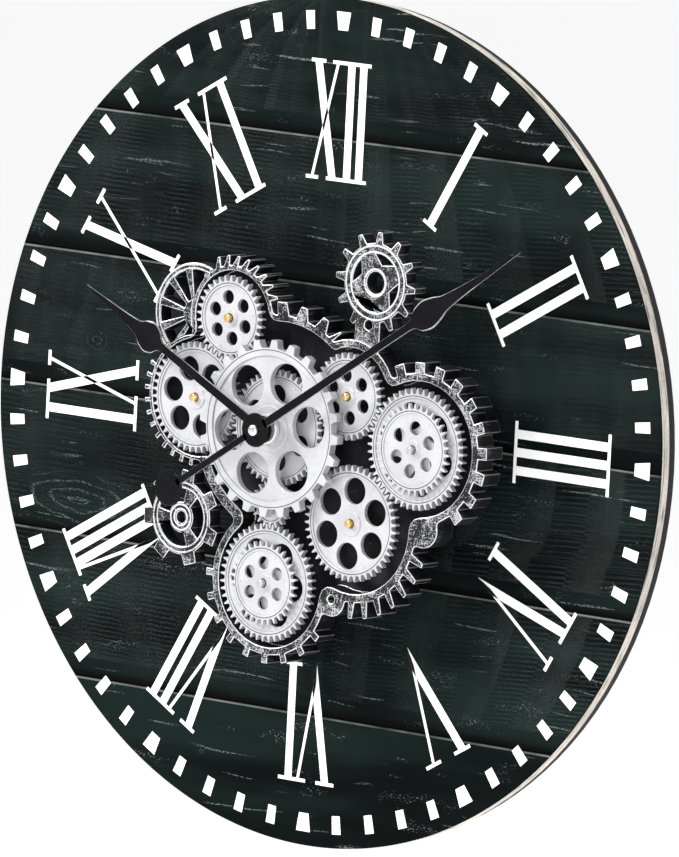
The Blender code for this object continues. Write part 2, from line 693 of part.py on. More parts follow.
def blade(length, neck, widest, stem, tail):
    """Half outline of a spade hand on its right side, from tip to tail."""
    span = length - neck
    right = [(0.5, length), (2.1, neck + span * 0.72), (3.5, neck + span * 0.48),
             (5.6, neck + span * 0.29), (widest * 0.80, neck + span * 0.21),
             (widest, neck + span * 0.125), (widest * 0.82, neck + span * 0.045),
             (stem + 1.0, neck), (stem, neck - 6.0), (stem + 0.4, 12.0)]
    return right + tail


def hand(name, lift, bearing, outline, bore, material):
    """A flat hand drawn pointing up, mirrored and turned to its bearing."""
    left = [(-x, z) for x, z in reversed(outline) if x > 0.0]
    plate(name, [outline + left, circle(bore, sides=16)], (lift, lift + HAND_THICKNESS), material,
          bearing=bearing)


def make_hands(black, steel, chrome):
    """Fixed tube, hour tube and minute shaft, the two hands and the nuts."""
    turned("center_tube", tube_profile(3.5, [(62.9, 4.6), (51.3, 9.0), (44.1, 4.6)], 84.6), 0.0,
           steel)
    plate("tube_nut", [circle(7.0, sides=6), circle(4.9, sides=16)], (82.4, 84.4), chrome)
    turned("hour_tube", tube_profile(2.0, [(44.5, 3.2)], 87.4), 0.0, steel)
    turned("minute_shaft", rod_profile([(44.8, 1.7)], 93.6, 44.8), 0.0, steel)
    hub = arc((0, 0), 10.0, 22, 158, 17)
    hour = blade(184.0, 108.0, 12.0, 3.2, hub + [(0.0, -10.0)])
    hand("hour_hand", HOUR_HAND_LIFT, HOUR_BEARING, hour, 3.5, black)
    hub = arc((0, 0), 12.0, 16, 164, 15)
    counterweight = arc((0, -91.0), 12.5, 17, 180, 14)
    minute = blade(271.0, 164.0, 10.8, 2.8, hub + [(2.4, -70.0)] + counterweight)
    hand("minute_hand", MINUTE_HAND_LIFT, MINUTE_BEARING, minute, 2.0, black)
    profile = [(0.0, 96.2), (2.8, 96.0), (4.0, 95.0), (4.0, 92.8), (2.0, 92.8), (2.0, 94.0),
               (0.0, 94.0)]
    turned("hand_nut", profile, 0.0, chrome)


def main():
    """Build every piece."""
    painted = make_material("painted_wood", (0.018, 0.026, 0.024), 0.62)
    edge = make_material("charcoal_board", (0.035, 0.034, 0.036), 0.7)
    black = make_material("black_plastic", BLACK, 0.45)
    gloss = make_material("gloss_black", (0.008, 0.008, 0.009), 0.22)
    grey = make_material("grey_plastic", (0.20, 0.20, 0.21), 0.5)
    white = make_material("satin_white", WHITE, 0.38)
    steel = make_material("steel", (0.62, 0.62, 0.64), 0.3, 1.0)
    chrome = make_material("nickel", (0.75, 0.74, 0.72), 0.18, 1.0)
    brass = make_material("brass", (0.78, 0.56, 0.25), 0.28, 1.0)
    cell_skin = make_material("cell_sleeve", (0.05, 0.12, 0.20), 0.4)
    make_boards(painted, edge, steel)
    make_housing(black, grey, steel)
    make_power(black, grey, steel, cell_skin)
    make_tray(black)
    make_trims(black, steel)
    make_train(white, brass, steel, black)
    make_hands(gloss, steel, chrome)


main()
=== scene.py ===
"""Looks of the open-gear wall clock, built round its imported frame.

Sizes are in millimetres until a mesh is made. A place is (x, z, lift): x to the right and z up as
seen from the front, and lift the distance from the wall, so lift runs along -Y.
"""
from __future__ import annotations

import json
import logging
import math
from dataclasses import dataclass
from enum import Enum
from typing import Optional, Sequence

import bmesh
import bpy
import numpy as np
from mathutils import Matrix, Vector

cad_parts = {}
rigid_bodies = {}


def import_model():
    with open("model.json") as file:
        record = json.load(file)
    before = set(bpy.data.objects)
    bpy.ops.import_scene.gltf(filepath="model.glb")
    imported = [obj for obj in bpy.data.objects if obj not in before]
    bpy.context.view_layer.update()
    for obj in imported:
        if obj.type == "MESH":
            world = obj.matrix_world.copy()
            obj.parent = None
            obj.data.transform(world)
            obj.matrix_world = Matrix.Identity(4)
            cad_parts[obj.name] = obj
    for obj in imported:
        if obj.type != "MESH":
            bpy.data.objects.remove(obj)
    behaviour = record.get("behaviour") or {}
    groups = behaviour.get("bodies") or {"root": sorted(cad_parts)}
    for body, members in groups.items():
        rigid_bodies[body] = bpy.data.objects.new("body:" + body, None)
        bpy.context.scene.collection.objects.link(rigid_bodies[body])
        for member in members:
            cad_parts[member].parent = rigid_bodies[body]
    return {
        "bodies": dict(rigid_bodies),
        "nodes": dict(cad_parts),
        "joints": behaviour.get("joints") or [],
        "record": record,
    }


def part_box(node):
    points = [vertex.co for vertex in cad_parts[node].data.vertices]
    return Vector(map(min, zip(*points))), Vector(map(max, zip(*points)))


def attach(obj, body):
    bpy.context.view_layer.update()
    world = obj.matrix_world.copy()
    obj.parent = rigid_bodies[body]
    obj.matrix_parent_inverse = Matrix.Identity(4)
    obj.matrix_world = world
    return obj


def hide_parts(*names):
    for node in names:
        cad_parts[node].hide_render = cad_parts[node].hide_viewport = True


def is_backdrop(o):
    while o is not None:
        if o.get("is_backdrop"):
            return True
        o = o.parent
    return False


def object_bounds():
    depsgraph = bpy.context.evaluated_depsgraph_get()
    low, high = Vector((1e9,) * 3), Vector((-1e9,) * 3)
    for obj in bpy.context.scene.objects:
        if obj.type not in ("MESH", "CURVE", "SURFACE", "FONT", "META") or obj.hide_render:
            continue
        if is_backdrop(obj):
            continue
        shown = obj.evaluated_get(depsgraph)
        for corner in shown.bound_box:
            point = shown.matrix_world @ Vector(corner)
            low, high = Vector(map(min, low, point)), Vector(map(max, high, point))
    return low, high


LOG = logging.getLogger("gear_clock")
MM = 0.001
WELD = 2e-6  # points closer than this, in metres, become one
TINY = 1e-9  # keeps a length that is divided by away from zero
PRINT_SINK = 0.05  # how far, in millimetres, the foot of a printed plate lies under the face
Pair = tuple[float, float]
Colour = tuple[float, float, float]


# ------------------------------------------------------------------ surfaces

@dataclass
class Surface:
    """Quads worked out as arrays: points, corner numbers, finish number and mark of each point."""

    points: np.ndarray
    quads: np.ndarray
    finish: np.ndarray
    mark: np.ndarray


def place(x: np.ndarray, z: np.ndarray, lift: np.ndarray) -> np.ndarray:
    """World points in metres from x, z and lift in millimetres.

    Args:
        x: distances to the right.
        z: heights.
        lift: distances from the wall.

    Returns:
        An array with a last axis of three.
    """
    return np.stack(np.broadcast_arrays(x, -np.asarray(lift, float), z), axis=-1) * MM


def grid(points: np.ndarray, wrap: tuple[bool, bool] = (False, False),
         finish: Optional[np.ndarray] = None, mark: Optional[np.ndarray] = None) -> Surface:
    """A two-parameter surface: node (u, v) joins (u+1, v), (u+1, v+1) and (u, v+1).

    Args:
        points: array of shape (U, V, 3).
        wrap: whether u and v close on themselves.
        finish: finish number of each column of faces along v.
        mark: value of each node, of shape (U, V).

    Returns:
        The surface.
    """
    rows, columns = points.shape[:2]
    u, v = np.meshgrid(np.arange(rows if wrap[0] else rows - 1),
                       np.arange(columns if wrap[1] else columns - 1), indexing="ij")
    across, along = (u + 1) % rows, (v + 1) % columns
    quads = np.stack([u * columns + v, across * columns + v, across * columns + along,
                      u * columns + along], axis=-1)
    numbers = np.zeros(v.shape, int) if finish is None else np.asarray(finish, int)[v]
    values = np.zeros((rows, columns)) if mark is None else np.broadcast_to(mark, (rows, columns))
    return Surface(points.reshape(-1, 3), quads.reshape(-1, 4), numbers.ravel(), values.ravel())


def join(parts: Sequence[Surface]) -> Surface:
    """Several surfaces as one, with their corner numbers moved on."""
    starts = np.cumsum([0] + [len(part.points) for part in parts[:-1]])
    return Surface(np.concatenate([part.points for part in parts]),
                   np.concatenate([part.quads + start for part, start in zip(parts, starts)]),
                   np.concatenate([part.finish for part in parts]),
                   np.concatenate([part.mark for part in parts]))


def make_object(name: str, surface: Surface, crease: float = 32.0) -> bpy.types.Object:
    """Put a surface into a mesh, weld its seams, point its faces outwards and smooth it.

    Args:
        name: name of the object.
        surface: what to put in the mesh.
        crease: edges sharper than this angle in degrees stay sharp.

    Returns:
        The new object, at the origin.
    """
    mesh = bpy.data.meshes.new(name)
    mesh.vertices.add(len(surface.points))
    mesh.vertices.foreach_set("co", surface.points.astype(np.float32).ravel())
    mesh.loops.add(surface.quads.size)
    mesh.loops.foreach_set("vertex_index", surface.quads.astype(np.int32).ravel())
    mesh.polygons.add(len(surface.quads))
    mesh.polygons.foreach_set("loop_start", np.arange(0, surface.quads.size, 4, dtype=np.int32))
    mesh.polygons.foreach_set("material_index", surface.finish.astype(np.int32))
    mesh.attributes.new("mark", "FLOAT", "POINT").data.foreach_set(
        "value", surface.mark.astype(np.float32))
    mesh.update(calc_edges=True)
    work = bmesh.new()
    work.from_mesh(mesh)
    bmesh.ops.remove_doubles(work, verts=work.verts, dist=WELD)
    bmesh.ops.dissolve_degenerate(work, edges=work.edges, dist=WELD / 4)
    bmesh.ops.recalc_face_normals(work, faces=work.faces)
    work.to_mesh(mesh)
    work.free()
    mesh.shade_smooth()
    mesh.set_sharp_from_angle(angle=math.radians(crease))
    item = bpy.data.objects.new(name, mesh)
    bpy.context.scene.collection.objects.link(item)
    return item


def eased(profile: Sequence[Pair], ease: float, closed: bool = False) -> np.ndarray:
    """A profile whose corners are cut back: each corner p becomes p - e*in and p + e*out.

    Args:
        profile: corner points.
        ease: how far each corner is cut back, up to four tenths of the side.
        closed: whether the last point joins the first.

    Returns:
        Points of the eased profile.
    """
    corner = np.asarray(profile, float)
    before, after = corner - np.roll(corner, 1, 0), np.roll(corner, -1, 0) - corner
    long_in = np.linalg.norm(before, axis=1, keepdims=True) + TINY
    long_out = np.linalg.norm(after, axis=1, keepdims=True) + TINY
    most = 0.4
    start = corner - before / long_in * np.minimum(ease, long_in * most)
    end = corner + after / long_out * np.minimum(ease, long_out * most)
    points = np.stack([start, end], axis=1).reshape(-1, 2)
    if closed:
        return points
    return np.concatenate([corner[:1], points[2:-2], corner[-1:]])


def turned(profile: Sequence[Pair], centre: Pair, ease: float = 0.25, steps: int = 48,
           closed: bool = False, flutes: int = 0, depth: float = 0.0) -> Surface:
    """A piece turned about the axis out of the dial: (r cos a, r sin a) at each profile lift.

    Args:
        profile: (radius, lift) corners, from the top to the foot.
        centre: (x, z) of the axis.
        ease: how far the corners are cut back.
        steps: nodes round the axis.
        closed: for a sleeve, whose profile closes on itself.
        flutes: grooves down the side, as r * (1 + depth * cos(flutes * a)).
        depth: depth of the grooves as a share of the radius.

    Returns:
        The closed surface.
    """
    radius, lift = eased(profile, ease, closed).T
    angle = np.linspace(0, math.tau, steps, endpoint=False)[:, None]
    reach = radius[None] * (1 + depth * np.cos(flutes * angle))
    points = place(centre[0] + reach * np.sin(angle), centre[1] + reach * np.cos(angle), lift[None])
    return grid(points, (True, closed))


def stepped(stations: Sequence[Pair], foot: float, inner: float) -> list[Pair]:
    """The profile of a stepped piece from its inner radius out, down the steps and back in.

    Args:
        stations: (lift of the top of a step, its radius), from the top down.
        foot: lift of the lowest end.
        inner: radius at which the profile starts and ends.

    Returns:
        The profile's corners as (radius, lift).
    """
    lifts = [top for top, _ in stations] + [foot]
    steps = [(radius, lift) for number, (_, radius) in enumerate(stations)
             for lift in lifts[number:number + 2]]
    return [(inner, lifts[0]), *steps, (inner, foot)]


def rod(stations: Sequence[Pair], foot: float, centre: Pair = (0.0, 0.0), **options) -> Surface:
    """A stepped rod."""
    return turned(stepped(stations, foot, 0.0), centre, **options)


def sleeve(stations: Sequence[Pair], foot: float, bore: float, centre: Pair = (0.0, 0.0),
           **options) -> Surface:
    """A stepped tube with a plain bore."""
    return turned(stepped(stations, foot, bore), centre, closed=True, **options)


def slabs(corners: np.ndarray, low: float, high: np.ndarray) -> Surface:
    """Many four-sided plates at once, each closed towards its middle below and above.

    Args:
        corners: array of shape (N, 4, 2) with the corners of each plate in order.
        low: lift of the feet.
        high: lift of each top, of shape (N,).

    Returns:
        The plates, each closed.
    """
    middle = corners.mean(axis=1, keepdims=True) + 0 * corners
    rings = np.stack([middle, corners, corners, middle], axis=1)
    lift = np.stack([np.full(len(corners), low)] * 2 + [high, high], axis=1)[..., None]
    return join([grid(one, (False, True)) for one in place(rings[..., 0], rings[..., 1], lift)])


def smooth_curve(at: np.ndarray, knots: Sequence[float], values: Sequence[float]) -> np.ndarray:
    """A cubic Hermite curve through (knot, value) pairs that never overshoots them.

    Each slope is the harmonic mean of its neighbours, or level where they differ in sign.

    Args:
        at: where to read the curve.
        knots: rising places.
        values: the value at each.

    Returns:
        The value at each place.
    """
    place_of, value = np.asarray(knots, float), np.asarray(values, float)
    rise = np.diff(value) / np.diff(place_of)
    level = rise[:-1] * rise[1:] <= 0
    spare = 1e-12
    inner = np.where(level, 0.0, 2 * rise[:-1] * rise[1:] / (rise[:-1] + rise[1:] + spare))
    slope = np.concatenate([[0.0], inner, [rise[-1]]])
    left = np.clip(np.searchsorted(place_of, at, side="right") - 1, 0, len(place_of) - 2)
    width = place_of[left + 1] - place_of[left]
    t = np.clip((at - place_of[left]) / width, 0, 1)
    return ((1 + 2 * t) * (1 - t) ** 2 * value[left] + t * (1 - t) ** 2 * width * slope[left]
            + t * t * (3 - 2 * t) * value[left + 1] + t * t * (t - 1) * width * slope[left + 1])


# ------------------------------------------------------------------ shader nodes

class Shader:
    """Makes and joins the nodes of one tree."""

    def __init__(self, tree: bpy.types.NodeTree) -> None:
        """Keep the tree that the nodes go into."""
        self.tree = tree

    def feed(self, socket: bpy.types.NodeSocket, value) -> None:
        """Give an input its value: the output of a node, a number, a vector or a colour."""
        if isinstance(value, bpy.types.NodeSocket):
            self.tree.links.new(value, socket)
        elif socket.type == "RGBA":
            socket.default_value = (*value, 1.0)
        else:
            socket.default_value = value

    def node(self, kind: str, settings: Optional[dict] = None, **inputs) -> bpy.types.Node:
        """Add a node.

        Args:
            kind: the node's type without its ShaderNode prefix.
            settings: properties of the node.
            **inputs: input name, with _ for a space, or i0, i1 for a number: a socket or a value.

        Returns:
            The node.
        """
        made = self.tree.nodes.new("ShaderNode" + kind)
        for key, value in (settings or {}).items():
            setattr(made, key, value)
        for key, value in inputs.items():
            numbered = key[0] == "i" and key[1:].isdigit()
            self.feed(made.inputs[int(key[1:]) if numbered else key.replace("_", " ")], value)
        return made

    def math(self, operation: str, first, second=0.0, third=0.0) -> bpy.types.NodeSocket:
        """The result of a Math node."""
        return self.node("Math", {"operation": operation}, i0=first, i1=second,
                         i2=third).outputs[0]

    def ramp(self, value, low: float, high: float, start: float = 0.0,
             end: float = 1.0) -> bpy.types.NodeSocket:
        """A value carried smoothly from one range to another."""
        return self.node("MapRange", {"interpolation_type": "SMOOTHSTEP"}, i0=value, i1=low,
                         i2=high, i3=start, i4=end).outputs[0]

    def mix(self, factor, first, second) -> bpy.types.NodeSocket:
        """Two colours mixed."""
        return self.node("Mix", {"data_type": "RGBA"}, i0=factor, i6=first, i7=second).outputs[2]

    def spot(self) -> bpy.types.NodeSocket:
        """The place on the piece, in metres."""
        return self.node("TexCoord").outputs["Object"]

    def mark(self) -> bpy.types.NodeSocket:
        """The mark that the mesh carries at each point."""
        return self.node("Attribute", {"attribute_name": "mark"}).outputs["Fac"]

    def lift_part(self, vector) -> bpy.types.NodeSocket:
        """The part of a vector that runs into the dial."""
        return self.node("SeparateXYZ", i0=vector).outputs[1]

    def stretched(self, vector, scale: Sequence[float], turn: float = 0.0) -> bpy.types.NodeSocket:
        """A place scaled along each axis after a turn about the axis out of the dial."""
        return self.node("Mapping", Vector=vector, Rotation=(0.0, turn, 0.0),
                         Scale=tuple(scale)).outputs[0]

    def noise(self, vector, scale: float = 1.0, detail: float = 3.0,
              seed=None) -> bpy.types.NodeSocket:
        """Fractal noise at a place."""
        settings, extra = ({}, {}) if seed is None else ({"noise_dimensions": "4D"}, {"W": seed})
        return self.node("TexNoise", settings, Vector=vector, Scale=scale, Detail=detail,
                         **extra).outputs[0]

    def group(self, tree: bpy.types.NodeTree, **inputs) -> bpy.types.NodeSocket:
        """The first output of a shared node group."""
        return self.node("Group", {"node_tree": tree}, **inputs).outputs[0]


def shared_group(name: str, inputs: dict[str, float]) -> tuple[bpy.types.NodeTree, Shader, dict]:
    """Start a node group with number inputs and one output called Mask.

    Args:
        name: name of the group.
        inputs: each input with its usual value.

    Returns:
        The tree, a shader to build it with, and its input sockets by name.
    """
    tree = bpy.data.node_groups.new(name, "ShaderNodeTree")
    for key, value in inputs.items():
        socket = tree.interface.new_socket(key, in_out="INPUT", socket_type="NodeSocketFloat")
        socket.default_value = value
    tree.interface.new_socket("Mask", in_out="OUTPUT", socket_type="NodeSocketFloat")
    entry = tree.nodes.new("NodeGroupInput")
    return tree, Shader(tree), {key: entry.outputs[key] for key in inputs}


def close_group(shader: Shader, value: bpy.types.NodeSocket) -> None:
    """Send a value to the group's output."""
    exit_node = shader.tree.nodes.new("NodeGroupOutput")
    shader.tree.links.new(value, exit_node.inputs[0])


class Effects:
    """The effects that more than one material uses, each made once."""

    def __init__(self) -> None:
        """Build the three groups."""
        self.brushed = self.make_brushed()
        self.scratched = self.make_scratched()
        self.dusted = self.make_dusted()

    def make_brushed(self) -> bpy.types.NodeTree:
        """Silver left by a dry brush: slanted streaks, broken by speckle, on faces turned out."""
        tree, shader, given = shared_group("dry_brush", {"Amount": 0.5, "Patch": 60.0})
        spot = shader.spot()
        streak = shader.noise(shader.stretched(spot, (260, 100, 1900), math.radians(42)))
        cross = shader.noise(shader.stretched(spot, (1700, 100, 330), math.radians(38)))
        speckle = shader.noise(spot, 1500.0, 4.0)
        patch = shader.noise(spot, given["Patch"], 2.0)
        lines = shader.math("MAXIMUM", streak, cross)
        grain = shader.math("MULTIPLY_ADD", speckle, 0.55, lines)
        total = shader.math("MULTIPLY_ADD", patch, 0.5, grain)
        level = shader.math("SUBTRACT", 1.62, shader.math("MULTIPLY", given["Amount"], 0.6))
        over = shader.ramp(shader.math("SUBTRACT", total, level), -0.04, 0.07)
        normal = shader.lift_part(shader.node("NewGeometry").outputs["Normal"])
        facing = shader.ramp(shader.math("MULTIPLY", normal, -1.0), 0.25, 0.7, 0.12, 1.0)
        close_group(shader, shader.math("MULTIPLY", over, facing))
        return tree

    def make_scratched(self) -> bpy.types.NodeTree:
        """Fine hairlines: two stretched noises, of which only the peaks count."""
        tree, shader, _ = shared_group("hairlines", {})
        spot = shader.spot()
        one = shader.noise(shader.stretched(spot, (160, 160, 5200), 0.5), 1.0, 2.0)
        two = shader.noise(shader.stretched(spot, (4800, 160, 190), -0.35), 1.0, 2.0)
        close_group(shader, shader.ramp(shader.math("MAXIMUM", one, two), 0.6, 0.78))
        return tree

    def make_dusted(self) -> bpy.types.NodeTree:
        """Uneven tone: a coarse and a fine noise added."""
        tree, shader, given = shared_group("uneven_tone", {"Coarse": 45.0, "Fine": 900.0})
        spot = shader.spot()
        coarse = shader.noise(spot, given["Coarse"], 3.0)
        fine = shader.noise(spot, given["Fine"], 4.0)
        close_group(shader, shader.ramp(shader.math("MULTIPLY_ADD", fine, 0.6, coarse), 0.6, 1.0))
        return tree


@dataclass(frozen=True)
class Finish:
    """A moulded or metal surface: two tones, gloss, hairlines, and painted shade with a little dust where
    the mark is set.
    """

    name: str
    colour: Colour
    shade: Colour
    shade_and_dust: Colour = (0.02, 0.02, 0.022)
    roughness: float = 0.4
    spread: float = 0.15
    metallic: float = 0.0
    specular: float = 0.5
    coat: float = 0.0
    bump: float = 0.05
    tone_scale: float = 45.0

    def material(self, effects: Effects) -> bpy.types.Material:
        """Build the material from the shared effects."""
        made, shader, surface = new_material(self.name, self.colour)
        tone = shader.group(effects.dusted, Coarse=self.tone_scale, Fine=self.tone_scale * 22)
        lines = shader.group(effects.scratched)
        base = shader.mix(tone, self.colour, self.shade)
        # Painted shade, with a little dust, where the mark is set: in the gears' engraved circle and at
        # the step to the web.
        shaded_and_dusted = shader.mix(shader.ramp(shader.mark(), 0.2, 0.9, 0.0, 0.9), base, self.shade_and_dust)
        rough = shader.math("MULTIPLY_ADD", tone, self.spread, self.roughness)
        link_surface(shader, surface, shaded_and_dusted, shader.math("MULTIPLY_ADD", lines, self.spread, rough),
                     shader.math("ADD", tone, lines), self.bump)
        surface.inputs["Metallic"].default_value = self.metallic
        surface.inputs["Specular IOR Level"].default_value = self.specular
        surface.inputs["Coat Weight"].default_value = self.coat
        return made


@dataclass(frozen=True)
class BrushedBlack:
    """Black plastic with silver dry-brushed over it."""

    name: str
    black: Colour
    silver: Colour
    amount: float
    patch: float = 60.0
    sunken: float = 0.55
    rim_lift: float = 0.0610
    deck_lift: float = 0.0540

    def material(self, effects: Effects) -> bpy.types.Material:
        """Build the material; the brush mask, weaker in the sunken deck, drives colour and gloss."""
        made, shader, surface = new_material(self.name, self.black)
        raised = shader.ramp(shader.lift_part(shader.spot()), -self.rim_lift, -self.deck_lift,
                             self.amount, self.amount * self.sunken)
        mask = shader.group(effects.brushed, Amount=raised, Patch=self.patch)
        tone = shader.group(effects.dusted, Coarse=70.0, Fine=1200.0)
        ground = shader.mix(tone, self.black, tuple(2.2 * value for value in self.black))
        colour = shader.mix(mask, ground, self.silver)
        rough = shader.math("MULTIPLY_ADD", mask, -0.12, 0.5)
        link_surface(shader, surface, colour, rough, mask, 0.25)
        shader.tree.links.new(shader.math("MULTIPLY", mask, 0.55), surface.inputs["Metallic"])
        surface.inputs["Specular IOR Level"].default_value = 0.14
        return made


@dataclass(frozen=True)
class PlankPrint:
    """Dark green-black planks: tone, grain dashes, worn flecks, knots, and painted shade and a painted
    highlight along each joint.
    """

    name: str = "plank_print"
    dark: Colour = (0.0014, 0.0024, 0.0024)
    light: Colour = (0.0055, 0.0105, 0.0100)
    fleck: Colour = (0.22, 0.25, 0.24)

    def knot(self, shader: Shader, x: float, z: float, wide: float, high: float,
             rings: float) -> bpy.types.NodeSocket:
        """Oval rings round a knot: the peaks of sin(rings * distance), fading out at its edge."""
        moved = shader.node("Mapping", Vector=shader.spot(), Location=(-x, 0.0, -z)).outputs[0]
        parts = shader.node("SeparateXYZ", i0=moved)
        flat = shader.node("CombineXYZ", i0=shader.math("DIVIDE", parts.outputs[0], wide),
                           i2=shader.math("DIVIDE", parts.outputs[2], high)).outputs[0]
        away = shader.node("VectorMath", {"operation": "LENGTH"}, i0=flat).outputs["Value"]
        wobble = shader.noise(flat, 1.6, 2.0)
        turn = shader.math("MULTIPLY", shader.math("MULTIPLY_ADD", wobble, 0.5, away), rings)
        peak = shader.ramp(shader.math("SINE", turn), 0.72, 0.96)
        return shader.math("MULTIPLY", peak, shader.ramp(away, 0.75, 1.05, 1.0, 0.0))

    def material(self, effects: Effects) -> bpy.types.Material:
        """Build the print from noises stretched along the planks."""
        made, shader, surface = new_material(self.name, self.dark)
        mark = shader.mark()
        plank, line = shader.math("FLOOR", mark), shader.math("FRACT", mark)
        spot = shader.spot()
        bend = shader.noise(shader.stretched(spot, (9, 9, 22)), 1.0, 2.0, plank)
        waved = shader.node("VectorMath", {"operation": "MULTIPLY_ADD"}, i0=bend,
                            i1=(0.0, 0.0, 0.018), i2=spot).outputs[0]
        tone = shader.noise(shader.stretched(waved, (4, 4, 26)), 1.0, 3.0, plank)
        base = shader.mix(shader.ramp(tone, 0.36, 0.66), self.dark, self.light)
        thread = shader.noise(shader.stretched(waved, (10, 10, 300)), 1.0, 2.0, plank)
        dash = shader.noise(shader.stretched(spot, (480, 480, 900)), 1.0, 2.0, plank)
        where = shader.noise(shader.stretched(spot, (11, 11, 34)), 1.0, 2.0, plank)
        grain = shader.math("MULTIPLY", shader.ramp(thread, 0.65, 0.67), shader.ramp(where, 0.42, 0.58))
        rubbed = shader.math("MULTIPLY", shader.ramp(dash, 0.56, 0.66),
                             shader.ramp(shader.noise(shader.stretched(spot, (26, 26, 105)), 1.0, 4.0,
                                                      plank), 0.58, 0.70))
        worn = shader.math("MAXIMUM", shader.math("MULTIPLY", grain, shader.ramp(dash, 0.42, 0.56)),
                           rubbed)
        knots = shader.math("MAXIMUM", self.knot(shader, -0.222, -0.082, 0.062, 0.021, 22.0),
                            self.knot(shader, -0.211, 0.035, 0.010, 0.007, 12.0))
        knots = shader.math("MULTIPLY", knots, shader.ramp(dash, 0.44, 0.60, 0.0, 0.55))
        flecks = shader.math("MULTIPLY", shader.math("MAXIMUM", worn, knots), 0.46)
        painted = shader.mix(flecks, base, self.fleck)
        # Painted highlight along the lower edge of each joint, broken by noise, and painted shadow in the
        # groove and just above it.
        joint_break = shader.ramp(shader.noise(shader.stretched(spot, (26, 26, 5))), 0.3, 0.62, 0.25, 1.0)
        painted_highlight = shader.math("MULTIPLY", shader.ramp(line, 0.55, 0.8), joint_break)
        shadow = shader.math("MULTIPLY", shader.ramp(line, 0.0, 0.4),
                             shader.ramp(line, 0.45, 0.6, 1.0, 0.0))
        shaded = shader.mix(shadow, painted, (0.0012, 0.0014, 0.0014))
        colour = shader.mix(painted_highlight, shaded, (0.105, 0.118, 0.112))
        rough = shader.math("MULTIPLY_ADD", tone, 0.2, 0.52)
        link_surface(shader, surface, colour, rough, shader.math("ADD", tone, flecks), 0.12)
        surface.inputs["Specular IOR Level"].default_value = 0.02
        return made


@dataclass(frozen=True)
class WhitewashedEdge:
    """Pale sawn edge with grey rubbed through in streaks that run round the board."""

    name: str = "whitewashed_edge"
    pale: Colour = (0.70, 0.65, 0.58)
    grey: Colour = (0.16, 0.15, 0.14)

    def material(self, effects: Effects) -> bpy.types.Material:
        """Build the material; the streaks are thin along the board's thickness."""
        made, shader, surface = new_material(self.name, self.pale)
        spot = shader.spot()
        streak = shader.noise(shader.stretched(spot, (22, 900, 22)), 1.0, 4.0)
        blotch = shader.noise(shader.stretched(spot, (55, 300, 55)), 1.0, 4.0)
        worn = shader.ramp(shader.math("ADD", streak, blotch), 1.0, 1.24)
        tone = shader.group(effects.dusted, Coarse=30.0, Fine=700.0)
        base = shader.mix(tone, self.pale, tuple(0.72 * value for value in self.pale))
        link_surface(shader, surface, shader.mix(worn, base, self.grey), 0.75,
                     shader.math("ADD", streak, tone), 0.3)
        surface.inputs["Specular IOR Level"].default_value = 0.25
        return made


def new_material(name: str, colour: Colour) -> tuple[bpy.types.Material, Shader, bpy.types.Node]:
    """A material, a shader to build it with, and its Principled node."""
    made = bpy.data.materials.new(name)
    made.use_nodes = True
    made.diffuse_color = (*colour, 1.0)
    return made, Shader(made.node_tree), made.node_tree.nodes["Principled BSDF"]


def link_surface(shader: Shader, surface: bpy.types.Node, colour, roughness, height,
                 bump: float) -> None:
    """Send colour, roughness and a bump height to the surface."""
    raised = shader.node("Bump", Strength=bump, Distance=0.0002, Height=height)
    for key, value in (("Base Color", colour), ("Roughness", roughness),
                       ("Normal", raised.outputs[0])):
        shader.feed(surface.inputs[key], value)


class Coat(Enum):
    """Every finish on the clock."""

    PLANKS = PlankPrint()
    EDGE = WhitewashedEdge()
    PRINT = Finish("white_print", (0.90, 0.90, 0.90), (0.80, 0.80, 0.80), roughness=0.55,
                   specular=0.2, bump=0.02)
    CHARCOAL = Finish("charcoal_board", (0.024, 0.023, 0.025), (0.043, 0.041, 0.042),
                      roughness=0.7, specular=0.1, bump=0.3, tone_scale=600.0)
    GEAR = Finish("satin_white", (0.50, 0.50, 0.52), (0.40, 0.40, 0.42), (0.05, 0.05, 0.055),
                  roughness=0.32, spread=0.08, metallic=0.35, bump=0.04)
    BOSS = Finish("silver_boss", (0.74, 0.74, 0.76), (0.60, 0.60, 0.62), roughness=0.22,
                  spread=0.08, metallic=0.7)
    RIM = BrushedBlack("brushed_black", (0.004, 0.004, 0.005), (0.42, 0.42, 0.43), 0.82)
    WORN_EDGE = BrushedBlack("worn_edge", (0.05, 0.05, 0.05), (0.62, 0.62, 0.63), 1.20, 90.0, 0.9)
    TRIM = BrushedBlack("brushed_trim", (0.005, 0.005, 0.006), (0.40, 0.40, 0.41), 0.80, 90.0)
    GLOSS = Finish("gloss_black", (0.0020, 0.0020, 0.0025), (0.004, 0.004, 0.005), roughness=0.14,
                   spread=0.1, specular=0.10, bump=0.02)
    BLACK = Finish("black_plastic", (0.010, 0.010, 0.011), (0.022, 0.022, 0.023),
                   roughness=0.48, bump=0.25, tone_scale=260.0)
    GREY = Finish("grey_plastic", (0.18, 0.18, 0.19), (0.25, 0.25, 0.26), roughness=0.45,
                  bump=0.2, tone_scale=260.0)
    STEEL = Finish("turned_steel", (0.62, 0.62, 0.64), (0.48, 0.48, 0.50), roughness=0.22,
                   spread=0.2, metallic=1.0)
    NICKEL = Finish("nickel_plate", (0.80, 0.79, 0.76), (0.68, 0.67, 0.64), roughness=0.14,
                    metallic=1.0)
    BRASS = Finish("polished_brass", (0.80, 0.58, 0.26), (0.62, 0.42, 0.17), roughness=0.2,
                   metallic=1.0)
    # Painted highlight: the hands' chamfers are painted a lighter grey than the gloss black.
    EDGE_HIGHLIGHT = Finish("painted_edge_highlight", (0.34, 0.34, 0.35), (0.10, 0.10, 0.10), roughness=0.12,
                        coat=0.4, bump=0.02)
    CELL = Finish("cell_sleeve", (0.04, 0.10, 0.17), (0.07, 0.16, 0.26), roughness=0.3,
                  coat=0.3)


# ------------------------------------------------------------------ bench: puts pieces in the frame

